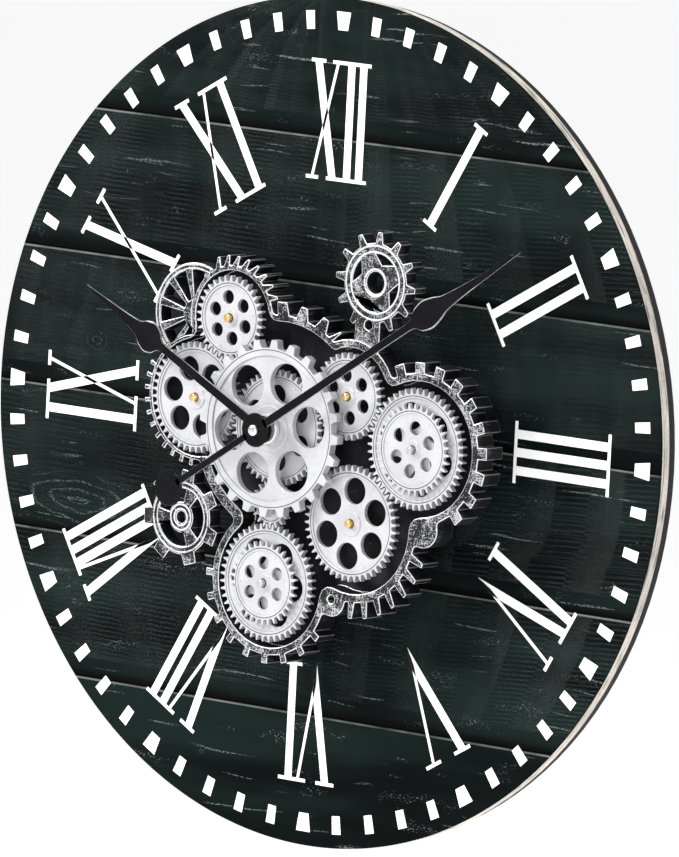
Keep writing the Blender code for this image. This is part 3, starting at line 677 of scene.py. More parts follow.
class Bench:
    """Holds the frame and the materials, and gives each piece its body and finish."""

    def __init__(self) -> None:
        """Load the frame and make every material."""
        self.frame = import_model()
        self.cad_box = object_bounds()
        record = self.frame["record"]
        self.slot_of = {part["node"]: part["material_slot"] for part in record["subparts"]}
        self.body_of = {node: body for body, nodes in record["behaviour"]["bodies"].items()
                        for node in nodes}
        effects = Effects()
        self.paint = {coat: coat.value.material(effects) for coat in Coat}

    def dress(self, item: bpy.types.Object, *coats: Coat) -> None:
        """Give an object its finishes, in order of finish number."""
        if item.data.materials:
            item.data.materials.clear()
        for coat in coats:
            item.data.materials.append(self.paint[coat])

    def stand_for(self, item: bpy.types.Object, node: str, *coats: Coat) -> None:
        """Let a piece stand for a node and ride with it."""
        self.dress(item, *coats)
        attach(item, self.body_of[node])
        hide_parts(node)
        LOG.info("%s stands for %s", item.name, node)

    def turn(self, node: str, surface: Surface, coat: Coat) -> None:
        """Let a turned surface stand for a node."""
        self.stand_for(make_object(node + "_turned", surface), node, coat)

    def add(self, item: bpy.types.Object, beside: str, *coats: Coat) -> None:
        """Let a new piece ride with a node that stays shown."""
        self.dress(item, *coats)
        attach(item, self.body_of[beside])
        LOG.info("%s rides with %s", item.name, beside)

    def keep(self, node: str, coat: Coat) -> None:
        """Give a node that stays as it is a better finish."""
        self.dress(self.frame["nodes"][node], coat)

    def middle(self, node: str) -> Pair:
        """The (x, z) middle of a node's box, in millimetres."""
        low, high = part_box(node)
        return ((low.x + high.x) / 2 / MM, (low.z + high.z) / 2 / MM)

    def lifts(self, node: str) -> Pair:
        """The lowest and highest lift of a node, in millimetres."""
        low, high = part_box(node)
        return (-high.y / MM, -low.y / MM)

    def eased_copy(self, node: str, width: float, *coats: Coat) -> None:
        """Let a welded copy of a node with rounded edges stand for it.

        Args:
            node: the node to copy.
            width: width of the rounding in millimetres.
            *coats: the faces' finish and, if given, the edges'.
        """
        flat, sharp = math.radians(0.6), math.radians(30.0)
        mesh = self.frame["nodes"][node].data.copy()
        mesh.name = node + "_eased"
        work = bmesh.new()
        work.from_mesh(mesh)
        bmesh.ops.remove_doubles(work, verts=work.verts, dist=WELD)
        bmesh.ops.dissolve_limit(work, angle_limit=flat, verts=work.verts, edges=work.edges)
        work.to_mesh(mesh)
        work.free()
        mesh.shade_smooth()
        mesh.set_sharp_from_angle(angle=sharp)
        item = bpy.data.objects.new(node + "_eased", mesh)
        bpy.context.scene.collection.objects.link(item)
        rounding = item.modifiers.new("edges", "BEVEL")
        rounding.width = width * MM
        rounding.segments = 2
        rounding.limit_method = "ANGLE"
        rounding.use_clamp_overlap = False
        rounding.angle_limit = sharp
        rounding.material = len(coats) - 1
        self.stand_for(item, node, *coats)


# ------------------------------------------------------------------ dial

@dataclass
class Dial:
    """Plank board with its printed hours and minute marks."""

    radius: float = 300.0
    front: float = 16.5
    back: float = 7.5
    edge: float = 0.7
    joints: tuple[float, ...] = (-207.0, -105.0, -1.0, 98.0, 202.0)
    opening_x: float = 60.3
    opening_z: tuple[float, float] = (-72.3, 58.3)
    opening_corner: float = 38.3
    print_lift: float = 16.66
    mark_ends: Pair = (290.0, 277.0)
    hour_mark: Pair = (6.3, 4.3)
    minute_mark: Pair = (3.9, 3.5)

    def rows(self) -> tuple[np.ndarray, np.ndarray, np.ndarray]:
        """Heights of the rows, with their lift below the face and mark.

        The mark is the plank's number plus the painted light at its joint: 0.45 is painted shadow in the
        groove and 0.95 a painted highlight on the groove's lower edge.

        Returns:
            Heights, depths and marks, from the bottom up.
        """
        circle = self.radius * np.sin(np.linspace(-math.pi / 2, math.pi / 2, 241))
        corner = np.linspace(0, math.pi / 2, 10)
        low = self.opening_z[0] + self.opening_corner * (1 - np.cos(corner))
        high = self.opening_z[1] - self.opening_corner * (1 - np.cos(corner))
        step = np.array([-2.2, -1.9, -0.9, -0.5, 0.5, 0.9, 6.0, 14.0])
        depth = np.array([0.0, 0.0, 0.0, 0.9, 0.9, 0.0, 0.0, 0.0])
        # Painted light at each joint: 0.95 is a painted highlight below the groove, 0.45 to 0.15 painted
        # shadow in the groove and above it.
        joint_shade_highlight = np.array([0.0, 0.95, 0.95, 0.45, 0.45, 0.42, 0.15, 0.0])
        near = np.asarray(self.joints)[:, None] + step
        plain = np.concatenate([circle, low, high])
        gap = plain[:, None] - np.asarray(self.joints)
        plain = plain[~np.any((gap > step[0]) & (gap < step[-1]), axis=1)]
        height = np.concatenate([plain, near.ravel()])
        sunk = np.concatenate([0 * plain, np.tile(depth, len(self.joints))])
        row_shade_highlight = np.concatenate([0 * plain, np.tile(joint_shade_highlight, len(self.joints))])
        order = np.argsort(height, kind="stable")
        height, sunk, row_shade_highlight = height[order], sunk[order], row_shade_highlight[order]
        number = np.searchsorted(np.asarray(self.joints) - 2.0, height)
        return height, sunk, number + row_shade_highlight

    def opening_half(self, height: np.ndarray) -> np.ndarray:
        """Half width of the rounded opening at a height: straight, less c - sqrt(c^2 - d^2)."""
        low = self.opening_z[0] + self.opening_corner - height
        high = height - self.opening_z[1] + self.opening_corner
        into = np.clip(np.maximum(low, high), 0, self.opening_corner)
        drop = self.opening_corner - np.sqrt(self.opening_corner ** 2 - into ** 2)
        return self.opening_x - drop

    def half_board(self, side: int) -> Surface:
        """One half of the board: a closed section carried from the bottom to the top.

        At each height the section runs from the opening's edge, or the middle, along the face to
        sqrt(R^2 - z^2), down the rim, and along the back. Face rows are drawn in by the edge.
        """
        height, sunk, mark = self.rows()
        inner = self.opening_x - self.opening_corner
        inside = (height > self.opening_z[0]) & (height < self.opening_z[1])
        ends = [np.searchsorted(height, self.opening_z[0]), np.searchsorted(height, self.opening_z[1])]
        for number, level in zip(ends[::-1], self.opening_z[::-1]):
            height = np.insert(height, number, [level, level])
            sunk = np.insert(sunk, number, [0.0, 0.0])
            mark = np.insert(mark, number, [mark[number]] * 2)
            inside = np.insert(inside, number, [False, True] if level < 0 else [True, False])
        start = np.where(inside, self.opening_half(height), 0.0)
        second = np.where(inside, start, np.minimum(inner, self.reach(height)))
        share = np.array([0.25, 0.5, 0.75, 1.0])
        along = second[:, None] + (self.reach(height) - second)[:, None] * share
        face_x = np.concatenate([start[:, None], second[:, None], along], axis=1)
        drawn = (self.radius - self.edge) / self.radius
        front = place(side * face_x * drawn, height[:, None] * drawn, (self.front - sunk)[:, None])
        rim = [place(side * self.reach(height) * scale, height * scale, np.full(len(height), lift))
               for scale, lift in ((1.0, self.front - self.edge), (1.0, self.back + self.edge))]
        back = place(side * face_x[:, ::-1] * drawn, height[:, None] * drawn, self.back)
        section = np.concatenate([front, rim[0][:, None], rim[1][:, None], back], axis=1)
        rim_column = face_x.shape[1]
        finish = np.zeros(section.shape[1], int)
        finish[rim_column] = 1
        finish[rim_column + 1:] = 2
        made = grid(section, (False, True), finish, mark[:, None])
        middle = np.all(np.abs(made.points[made.quads][..., 0]) < WELD, axis=1)
        made.quads, made.finish = made.quads[~middle], made.finish[~middle]
        return made

    def reach(self, height: np.ndarray) -> np.ndarray:
        """Half width of the round board at a height."""
        return np.sqrt(np.maximum(self.radius ** 2 - np.asarray(height) ** 2, 0.0))

    def marks(self) -> Surface:
        """Minute marks: plates between two radii, wider outside and larger at each hour."""
        minute = np.arange(60)
        half = np.where(minute[:, None] % 5 == 0, self.hour_mark, self.minute_mark)
        across = np.stack([-half[:, 0], half[:, 0], half[:, 1], -half[:, 1]], axis=1)
        local = np.stack([across, np.repeat(self.mark_ends, 2) + 0 * across], axis=-1)
        return slabs(turn_about(local, minute[:, None] * math.tau / 60), self.front - PRINT_SINK,
                     np.full(60, self.print_lift))

    def build(self, bench: Bench) -> None:
        """Make the board, the marks and the hours."""
        board = make_object("dial_planks", join([self.half_board(-1), self.half_board(1)]), 20.0)
        bench.stand_for(board, "dial_board", Coat.PLANKS, Coat.EDGE, Coat.CHARCOAL)
        bench.add(make_object("minute_marks", self.marks()), "dial_board", Coat.PRINT)
        for hour, numeral in HOURS.items():
            item = make_object(f"hour_{hour:02d}", numeral.surface(hour, self))
            bench.add(item, "dial_board", Coat.PRINT)


def turn_about(points: np.ndarray, bearing: float | np.ndarray) -> np.ndarray:
    """Points (across, out) turned clockwise by a bearing: x = a cos b + o sin b, z = o cos b - a sin b."""
    across, out = points[..., 0], points[..., 1]
    return np.stack([across * np.cos(bearing) + out * np.sin(bearing),
                     out * np.cos(bearing) - across * np.sin(bearing)], axis=-1)


class Stroke(Enum):
    """Widths of a numeral's strokes."""

    THICK = 6.3
    THIN = 2.2


@dataclass(frozen=True)
class Line:
    """One straight stroke: its width and its place across the numeral at the top and the foot."""

    width: Stroke
    top: float
    foot: float


@dataclass(frozen=True)
class Vee:
    """A V: where its two strokes are at the top, and the point in which they meet at the foot."""

    apex: float
    thick: float
    thin: float


@dataclass(frozen=True)
class Numeral:
    """A Roman hour whose top points away from the hub, with its serifs as spans across it."""

    strokes: tuple[Line | Vee, ...]
    top_serifs: tuple[Pair, ...]
    foot_serifs: tuple[Pair, ...] = ()
    foot: float = 171.0
    top: float = 255.5
    serif_height: float = 2.5
    serif_rise: float = 0.02
    splay: float = 1.02
    crotch: float = 0.16

    def line(self, stroke: Line) -> list[list[Pair]]:
        """A stroke cut level at both ends: its level width is its width times sqrt(1 + slope^2)."""
        slope = (stroke.top - stroke.foot) / (self.top - self.foot)
        half = stroke.width.value / 2 * math.sqrt(1 + slope * slope)
        return [[(stroke.top - half, self.top - 1), (stroke.top + half, self.top - 1),
                 (stroke.foot + half, self.foot + 1), (stroke.foot - half, self.foot + 1)]]

    def vee(self, stroke: Vee) -> list[list[Pair]]:
        """A thick and a thin stroke whose outer edges meet in a point.

        With the thick stroke's level width w and the outer edges d apart at the top, the thick
        stroke's inner edge meets the thin one's outer edge at w / d of the height.
        """
        height = self.top - self.foot
        thick, thin = Stroke.THICK.value / 2 * self.splay, Stroke.THIN.value / 2 * self.splay
        left, right = stroke.thick - thick, stroke.thin + thin
        share = 2 * thick / (right - left)
        meet = (stroke.apex + (right - stroke.apex) * share, self.foot + height * share)
        inner = (stroke.apex - 2 * thin + (right - stroke.apex) * self.crotch,
                 self.foot + height * self.crotch)
        apex = (stroke.apex, self.foot)
        return [[(left, self.top - 1), (stroke.thick + thick, self.top - 1), meet, apex],
                [(stroke.thin - thin, self.top - 1), (right, self.top - 1), apex, inner]]

    def surface(self, hour: int, dial: Dial) -> Surface:
        """Plates for the strokes and the serifs, turned to the hour's bearing."""
        plates = [plate for stroke in self.strokes
                  for plate in (self.vee(stroke) if isinstance(stroke, Vee) else self.line(stroke))]
        lifts = [dial.print_lift] * len(plates)
        for spans, low in ((self.top_serifs, self.top - self.serif_height),
                           (self.foot_serifs, self.foot)):
            high = low + self.serif_height
            plates += [[(a, high), (b, high), (b, low), (a, low)] for a, b in spans]
            lifts += [dial.print_lift + self.serif_rise] * len(spans)
        turned_plates = turn_about(np.asarray(plates), math.radians(30 * hour))
        return slabs(turned_plates, dial.front - PRINT_SINK, np.asarray(lifts))


def bar(at: float) -> Line:
    """The stroke of an I."""
    return Line(Stroke.THICK, at, at)


def ex(thick: Pair, thin: Pair) -> tuple[Line, Line]:
    """The strokes of an X, each given at the top and the foot."""
    return Line(Stroke.THICK, *thick), Line(Stroke.THIN, *thin)


HOURS: dict[int, Numeral] = {
    1: Numeral((bar(0.0),), ((-6.6, 6.6),), ((-6.6, 6.6),)),
    2: Numeral((bar(-7.5), bar(7.5)), ((-16.3, 16.3),), ((-16.3, 16.3),)),
    3: Numeral((bar(-12.7), bar(0.0), bar(12.8)), ((-21.7, 21.7),), ((-21.7, 21.7),)),
    4: Numeral((bar(-17.0), Vee(6.4, -7.1, 19.3)), ((-25.0, 1.0), (13.3, 24.9)),
               ((-24.7, -9.4),)),
    5: Numeral((Vee(0.0, -14.2, 14.6),), ((-21.4, -5.9), (7.5, 21.8))),
    6: Numeral((Vee(-5.4, -17.5, 7.5), bar(16.0)), ((-25.4, -9.2), (0.4, 25.0)), ((8.0, 22.0),)),
    7: Numeral((Vee(-9.6, -20.4, 1.0), bar(8.2), bar(19.0)), ((-26.6, -11.7), (-4.4, 25.4)),
               ((1.4, 25.3),)),
    8: Numeral((Vee(-13.0, -22.1, -3.5), bar(0.5), bar(10.5), bar(21.0)),
               ((-28.4, -16.0), (-8.8, 27.5)), ((-6.5, 27.0),)),
    9: Numeral((bar(-17.5), *ex((-4.0, 17.9), (17.9, -6.3))), ((-25.8, 2.5), (12.5, 23.3)),
               ((-25.8, -0.8), (10.8, 25.0))),
    10: Numeral(ex((-12.3, 13.4), (12.8, -14.5)), ((-19.5, -5.2), (6.6, 19.0)),
                ((-20.5, -8.5), (6.2, 20.6))),
    11: Numeral((*ex((-18.5, 2.8), (3.7, -19.4)), bar(20.0)), ((-25.5, -11.5), (-1.8, 27.0)),
                ((-25.5, -13.5), (-3.7, 26.1))),
    12: Numeral((*ex((-20.4, -3.3), (-2.5, -21.7)), bar(9.6), bar(20.4)),
                ((-26.7, -13.8), (-7.5, 27.0)), ((-27.0, -16.0), (-8.8, 27.0))),
}


# ------------------------------------------------------------------ gears

@dataclass
class Gear:
    """A moulded gear: toothed rim with an engraved circle, thinner web with round holes, and hub."""

    node: str
    joint: str
    teeth: int
    holes: int = 6
    hole: float = 5.0
    ring: float = 15.0
    first: float = 0.0
    bore: float = 3.1
    hub: float = 6.6
    module: float = 1.7
    sharp: float = 2.6
    share: float = 0.50
    rim: float = 3.2
    tip: Optional[float] = None
    root: Optional[float] = None
    coat: Coat = Coat.GEAR
    overlap: float = 0.4
    lip: float = 0.35
    corner: float = 0.28
    groove: tuple[float, ...] = (1.75, 1.6, 1.2, 1.05)

    def radii(self) -> Pair:
        """Root and tip radius."""
        if self.tip is not None and self.root is not None:
            return self.root, self.tip
        return self.module * (self.teeth / 2 - 1.30), self.module * (self.teeth / 2 + 1.08)

    def phase(self, bench: Bench, centre: Pair) -> float:
        """Bearing of a tooth: the mean of the tips' bearings, counted in tooth pitches."""
        mesh = bench.frame["nodes"][self.node].data
        flat = np.empty(len(mesh.vertices) * 3, np.float32)
        mesh.vertices.foreach_get("co", flat)
        at = flat.reshape(-1, 3)[:, [0, 2]].astype(float) / MM - np.asarray(centre)
        away = np.hypot(at[:, 0], at[:, 1])
        tips = at[away > away.max() - 0.3]
        return float(np.angle(np.mean(np.exp(1j * self.teeth * np.arctan2(tips[:, 0], tips[:, 1])))))

    def outline(self, phase: float) -> np.ndarray:
        """Rounded teeth: r = middle + half height * tanh(s (cos(n a) - c)), scaled to root and tip."""
        root, tip = self.radii()
        angle = np.linspace(0, math.tau, self.teeth * 16, endpoint=False)
        wave = np.tanh(self.sharp * (np.cos(self.teeth * angle - phase) - self.share))
        low, high = np.tanh(-self.sharp * (1 + self.share)), np.tanh(self.sharp * (1 - self.share))
        radius = root + (tip - root) * (wave - low) / (high - low)
        return np.stack([radius * np.sin(angle), radius * np.cos(angle)], axis=-1)

    def rim_surface(self, centre: Pair, low: float, high: float, phase: float) -> Surface:
        """A section carried round the outline.

        Outer rows are the outline moved in along its normal; inner rows are circles at the
        outline's own bearings, and two of them sink into the engraved circle.
        """
        outline = self.outline(phase)
        ahead = np.roll(outline, -1, 0) - np.roll(outline, 1, 0)
        normal = np.stack([-ahead[:, 1], ahead[:, 0]], -1)
        normal /= np.linalg.norm(normal, axis=1, keepdims=True)
        outward = np.sign(np.sum(normal * outline, axis=1).mean())
        root, _ = self.radii()
        inside = root - self.rim if self.holes else self.bore
        unit = outline / np.linalg.norm(outline, axis=1, keepdims=True)
        sunk = high - min(0.45, (high - low) / 6)
        # The mark paints shade, with a little dust, at the step to the web (0.6) and in the engraved
        # circle (1.0).
        circles = [(inside, low + self.overlap, 0.0), (inside, high - self.lip, 0.6),
                   (inside + self.lip, high, 0.0)]
        circles += [(root - inset, lift, mark) for inset, (lift, mark)
                    in zip(self.groove, ((high, 0.0), (sunk, 1.0), (sunk, 1.0), (high, 0.0)))]
        edges = [(self.corner, high), (0.0, high - self.corner), (0.0, low + self.corner),
                 (self.corner, low)]
        rows = [unit * radius for radius, _, _ in circles]
        rows += [outline - normal * outward * inset for inset, _ in edges]
        rows.append(unit * (inside + self.overlap))
        lift = np.array([lift for _, lift, _ in circles] + [lift for _, lift in edges] + [low])
        mark = np.array([mark for _, _, mark in circles] + [0.0] * (len(edges) + 1))
        at = np.stack(rows, axis=0)
        points = place(at[..., 0] + centre[0], at[..., 1] + centre[1], lift[:, None])
        return grid(points, (True, True), None, mark[:, None])

    def web_surface(self, centre: Pair, low: float, high: float) -> Surface:
        """Equal sectors, each with a round hole: rays from the hole to the sector's border.

        A border point b and hole middle h give rows h + (b - h) and h + r * unit(b - h), front and
        back. The border rows close on each other only where they meet the rim and the hub.
        """
        root, _ = self.radii()
        outer, inner = root - self.rim + self.overlap, self.hub - self.overlap
        half = math.pi / self.holes
        rim_points, hub_points, side_points = 25, 17, 9
        arc_outer = turn_about(np.array([0.0, outer]), np.linspace(-half, half, rim_points))
        arc_inner = turn_about(np.array([0.0, inner]), np.linspace(half, -half, hub_points))
        ray = np.linspace(outer, inner, side_points)[1:-1, None]
        right = turn_about(np.concatenate([0 * ray, ray], 1), half)
        left = turn_about(np.concatenate([0 * ray, ray[::-1]], 1), -half)
        border = np.concatenate([arc_outer, right, arc_inner, left])
        on_rim = np.zeros(len(border), bool)
        on_rim[:rim_points - 1] = True
        hub_start = rim_points + len(ray)
        on_rim[hub_start:hub_start + hub_points - 1] = True
        middle = np.array([0.0, self.ring])
        unit = (border - middle) / np.linalg.norm(border - middle, axis=1, keepdims=True)
        bevel, hole = middle + unit * (self.hole + self.lip), middle + unit * self.hole
        rows = np.stack([border, bevel, hole, hole, bevel, border], axis=1)
        lift = np.array([high, high, high - self.lip, low + self.lip, low, low])
        sectors = []
        for number in range(self.holes):
            at = turn_about(rows, math.radians(self.first) + number * 2 * half)
            points = place(at[..., 0] + centre[0], at[..., 1] + centre[1], lift[None])
            sectors.append(grid(points, (True, False)))
            wall = np.stack([points[:, 0], points[:, -1]], axis=1)
            strip = grid(wall, (True, False))
            strip.quads, strip.finish = strip.quads[on_rim], strip.finish[on_rim]
            sectors.append(strip)
        return join(sectors)

    def build(self, bench: Bench) -> None:
        """Make the gear from its rim, web and hub, and the three small ejector marks by the rim."""
        joint = next(j for j in bench.frame["joints"] if j["name"] == self.joint)
        centre = (joint["pos_m"][0] / MM, joint["pos_m"][2] / MM)
        low, high = bench.lifts(self.node)
        parts = [self.rim_surface(centre, low, high, self.phase(bench, centre))]
        if self.holes:
            front, back = high - 0.16 * (high - low), low + 0.12 * (high - low)
            parts.append(self.web_surface(centre, back, front))
            parts.append(sleeve([(high - 0.05, self.hub)], low + 0.05, self.bore, centre, ease=0.5))
            root, _ = self.radii()
            for turn in (0.5, 2.5, 4.5):
                bearing = math.radians(self.first) + math.tau * turn / 6
                spot = turn_about(np.array([0.0, root - self.rim - 1.6]), bearing) + centre
                parts.append(rod([(front + 0.35, 0.75)], front - 0.3, spot, steps=14, ease=0.12))
        bench.stand_for(make_object(self.node + "_moulded", join(parts), 38.0), self.node, self.coat)


GEARS = [
    Gear("center_fine_gear", "center_gear_spin", 46, 6, 7.2, 23.0, 356.3, 7.9, 11.0),
    Gear("left_gear", "left_gear_spin", 44, 6, 8.7, 21.0, 40.0, hub=8.5),
    Gear("top_left_gear", "top_left_gear_spin", 33, 6, 4.9, 14.6, 50.0, hub=6.6),
    Gear("upper_right_gear", "upper_right_gear_spin", 34, 6, 4.9, 15.0, 51.0, hub=6.8),
    Gear("right_lower_gear", "right_gears_spin", 48, 6, 9.5, 23.5, 47.0, hub=9.5),
    Gear("right_upper_gear", "right_gears_spin", 36, 6, 4.9, 15.3, 6.0, hub=6.8),
    Gear("lower_right_gear", "lower_right_gear_spin", 46, 6, 9.4, 23.2, 5.0, hub=9.0),
    Gear("idler_gear", "idler_gear_spin", 18, 0),
    Gear("bottom_lower_gear", "bottom_gears_spin", 47, 6, 9.5, 23.0, 33.0, hub=9.0),
    Gear("bottom_upper_gear", "bottom_gears_spin", 33, 6, 4.6, 14.2, 357.5, hub=6.6),
    Gear("motor_pinion", "motor_drive_spin", 12, 0, bore=2.3, coat=Coat.BLACK, sharp=4.5,
         share=0.6),
    Gear("center_coarse_gear", "center_gear_spin", 24, 6, 14.5, 35.2, 22.0, 7.9, 16.5, sharp=7.0,
         share=0.25, rim=5.6, tip=62.4, root=56.6),
]


# ------------------------------------------------------------------ shafts, studs and small metal

@dataclass
class Fittings:
    """Studs, shafts, nuts and screws, each turned to its node's own lifts."""

    brass_studs: tuple[str, ...] = ("left_stud", "top_left_stud", "upper_right_stud",
                                    "lower_right_stud")
    steel_studs: tuple[str, ...] = ("right_stud", "bottom_stud", "idler_stud")
    pin: float = 2.7
    shoulder: float = 5.6
    shoulder_top: float = 63.0
    spigot_top: float = 51.3
    spigot: float = 1.9

    def stud(self, bench: Bench, node: str, coat: Coat) -> None:
        """A stud with a domed pin, its shoulder and its spigot."""
        low, high = bench.lifts(node)
        surface = rod([(high, self.pin * 0.72), (high - 0.7, self.pin),
                       (self.shoulder_top, self.shoulder), (self.spigot_top, self.spigot)], low,
                      bench.middle(node), ease=0.3)
        bench.turn(node, surface, coat)

    def screw(self, bench: Bench, node: str, head: float, shank: float, depth: float,
              faces_wall: bool = False) -> None:
        """A screw with a rounded head; its head is at the wall side or at the front."""
        low, high = bench.lifts(node)
        front = [(high, head * 0.8), (high - 0.5, head), (high - depth, shank)]
        stations, ease = ([(high, shank), (low + depth, head)], 0.25) if faces_wall else (front, 0.3)
        bench.turn(node, rod(stations, low, bench.middle(node), ease=ease, steps=32), Coat.STEEL)

    def build(self, bench: Bench) -> None:
        """Make every stud, shaft, nut and screw."""
        for nodes, coat in ((self.brass_studs, Coat.BRASS), (self.steel_studs, Coat.STEEL)):
            for node in nodes:
                self.stud(bench, node, coat)
        for letter in "abcd":
            self.screw(bench, "cover_screw_" + letter, 3.1, 1.55, 0.9, True)
        for side in ("left", "right"):
            self.screw(bench, "hanger_screw_" + side, 3.0, 1.5, 0.6, True)
        self.screw(bench, "star_screw", 3.2, 1.7, 2.6)
        self.screw(bench, "cog_screw", 3.9, 1.7, 2.6)
        shafts = {
            "center_tube": (sleeve([(84.6, 4.6), (62.9, 9.0), (51.3, 4.6)], 44.1, 3.5), Coat.STEEL),
            "hour_tube": (sleeve([(87.4, 3.2)], 44.5, 2.0), Coat.STEEL),
            "minute_shaft": (rod([(93.6, 1.7)], 44.8), Coat.STEEL),
            "pinion_shaft": (rod([(68.3, 2.0)], 44.1, bench.middle("pinion_shaft")), Coat.STEEL),
            "gear_sleeve": (sleeve([(82.0, 9.9), (81.4, 10.5), (77.8, 7.5), (70.5, 9.6),
                                    (68.6, 7.5)], 63.3, 5.0, steps=72), Coat.BOSS),
            "hand_nut": (turned([(0.0, 96.15), (2.4, 96.1), (3.5, 95.5), (4.0, 94.7), (4.0, 92.8),
                                 (2.0, 92.8), (2.0, 94.0), (0.0, 94.0)], (0.0, 0.0), 0.2, 64),
                         Coat.NICKEL),
        }
        for node, (surface, coat) in shafts.items():
            bench.turn(node, surface, coat)
        bench.eased_copy("tube_nut", 0.35, Coat.NICKEL)
        for side in ("left", "top_left", "right", "bottom"):
            node = "post_" + side
            low, high = bench.lifts(node)
            surface = rod([(high, 5.0), (low + 3.0, 8.0)], low, bench.middle(node), ease=0.8)
            bench.turn(node, surface, Coat.BLACK)


# ------------------------------------------------------------------ hands

@dataclass
class Hand:
    """A spade hand with chamfered edges, painted lighter as a highlight, on a round hub."""

    node: str
    bearing: float
    length: float
    neck: float
    widest: float
    stem: float
    hub: float
    bore: float
    tail: float = 0.0
    weight: float = 0.0
    chamfer: float = 0.10
    bevel: float = 0.55

    def half_width(self, along: np.ndarray) -> np.ndarray:
        """Half width of the blade at each place along it, as a smooth curve."""
        span = self.length - self.neck
        knots = [0.0, self.neck - 8, self.neck - 2, self.neck + span * 0.045,
                 self.neck + span * 0.125, self.neck + span * 0.21, self.neck + span * 0.29,
                 self.neck + span * 0.48, self.neck + span * 0.72, self.length]
        widths = [self.stem + 0.4, self.stem, self.stem + 0.6, self.widest * 0.8, self.widest * 0.97,
                  self.widest * 0.80, 5.6, 3.5, 2.1, 0.5]
        return np.clip(smooth_curve(along, knots, widths), 0.45, self.widest)

    def bar_surface(self, along: np.ndarray, half: np.ndarray, low: float, high: float) -> Surface:
        """An eight-cornered section carried along the hand and closed to a point at both ends."""
        cut = np.clip(half * self.chamfer, 0.12, 1.0)
        zero = 0 * half
        across = np.stack([-half, -(half - cut), zero, half - cut, half, half - cut * 0.3, zero,
                           -(half - cut * 0.3)], axis=1)
        edge = low + self.bevel
        lift = np.array([edge, high, high, high, edge, low, low, low])
        across = np.pad(across, ((1, 1), (0, 0)))
        out = np.pad(along, 1, "edge")[:, None] + 0 * across
        at = turn_about(np.stack([across, out], -1), math.radians(self.bearing))
        lifts = np.repeat(lift[None], len(at), axis=0)
        lifts[0] = lifts[-1] = (low + high) / 2
        # Finish 1 on the two top chamfers is the painted edge highlight.
        finish = np.array([1, 0, 0, 1, 0, 0, 0, 0])
        return grid(place(at[..., 0], at[..., 1], lifts), (False, True), finish)

    def build(self, bench: Bench) -> None:
        """Make the blade, the hub and, if it has one, the tail with its round weight."""
        low, high = bench.lifts(self.node)
        along = np.linspace(self.hub * 0.75, self.length, 190)
        parts = [self.bar_surface(along, self.half_width(along), low, high),
                 sleeve([(high, self.hub - 0.5), (high - 0.45, self.hub)], low, self.bore,
                        ease=0.2, steps=72)]
        if self.weight:
            tail = np.linspace(-self.hub * 0.75, -self.tail + self.weight * 0.7, 40)
            parts.append(self.bar_surface(tail, 0 * tail + 2.5, low, high))
            at = turn_about(np.array([0.0, -self.tail]), math.radians(self.bearing))
            parts.append(rod([(high, self.weight - 0.6), (high - 0.45, self.weight)], low, at,
                             ease=0.2, steps=72))
        bench.stand_for(make_object(self.node + "_pressed", join(parts), 25.0), self.node,
                        Coat.GLOSS, Coat.EDGE_HIGHLIGHT)


HANDS = [
    Hand("hour_hand", 297.0, 184.0, 108.0, 12.0, 3.2, 10.0, 3.5),
    Hand("minute_hand", 56.6, 271.0, 164.0, 10.8, 2.8, 12.0, 2.0, 91.0, 12.5),
]


# ------------------------------------------------------------------ tray, trims and wall side

@dataclass
class TrayAndTrims:
    """The toothed tray and the three fixed wheels, with their raised rings."""

    edge: float = 0.60
    ring_height: float = 0.45

    def ring(self, centre: Pair, inner: float, outer: float, low: float, high: float,
             arc: Pair = (0.0, 360.0)) -> Surface:
        """A flat ring or part of one: an eased box section carried along an arc."""
        section = eased([(inner, high), (outer, high), (outer, low), (inner, low)], 0.25, True)
        whole = arc[1] - arc[0] >= 360.0
        bearing = np.radians(np.linspace(*arc, 97))[:96 if whole else 97]
        reach = np.repeat(section[None, :, 0], len(bearing), axis=0)
        lift = np.repeat(section[None, :, 1], len(bearing), axis=0)
        if not whole:
            ends = ((1, 1), (0, 0))
            reach = np.pad(reach, ends, constant_values=(inner + outer) / 2)
            lift = np.pad(lift, ends, constant_values=(low + high) / 2)
            bearing = np.pad(bearing, 1, "edge")
        return grid(place(centre[0] + reach * np.sin(bearing)[:, None],
                          centre[1] + reach * np.cos(bearing)[:, None], lift), (whole, True))

    def build(self, bench: Bench) -> None:
        """Make the tray and the trims, and the rings on them."""
        bench.eased_copy("gear_tray", self.edge, Coat.RIM, Coat.WORN_EDGE)
        for node in ("star_wheel", "cog_wheel", "spoke_wheel"):
            bench.eased_copy(node, self.edge * 0.9, Coat.TRIM, Coat.WORN_EDGE)
        rings = {
            "star_wheel": ((79.1, 110.5), [(25.2, 26.6), (20.9, 22.2), (8.6, 10.2)], (0, 360)),
            "cog_wheel": ((-85.5, -73.5), [(24.2, 25.4), (21.0, 22.0), (8.4, 9.8), (5.2, 6.6)],
                          (0, 360)),
            "spoke_wheel": ((-81.7, 71.0), [(34.6, 35.8), (31.9, 32.9)], (226, 382)),
        }
        for node, (centre, sizes, arc) in rings.items():
            top = bench.lifts(node)[1]
            parts = [self.ring(centre, inner, outer, top - 0.3, top + self.ring_height, arc)
                     for inner, outer in sizes]
            bench.add(make_object(node + "_rings", join(parts)), node, Coat.WORN_EDGE)


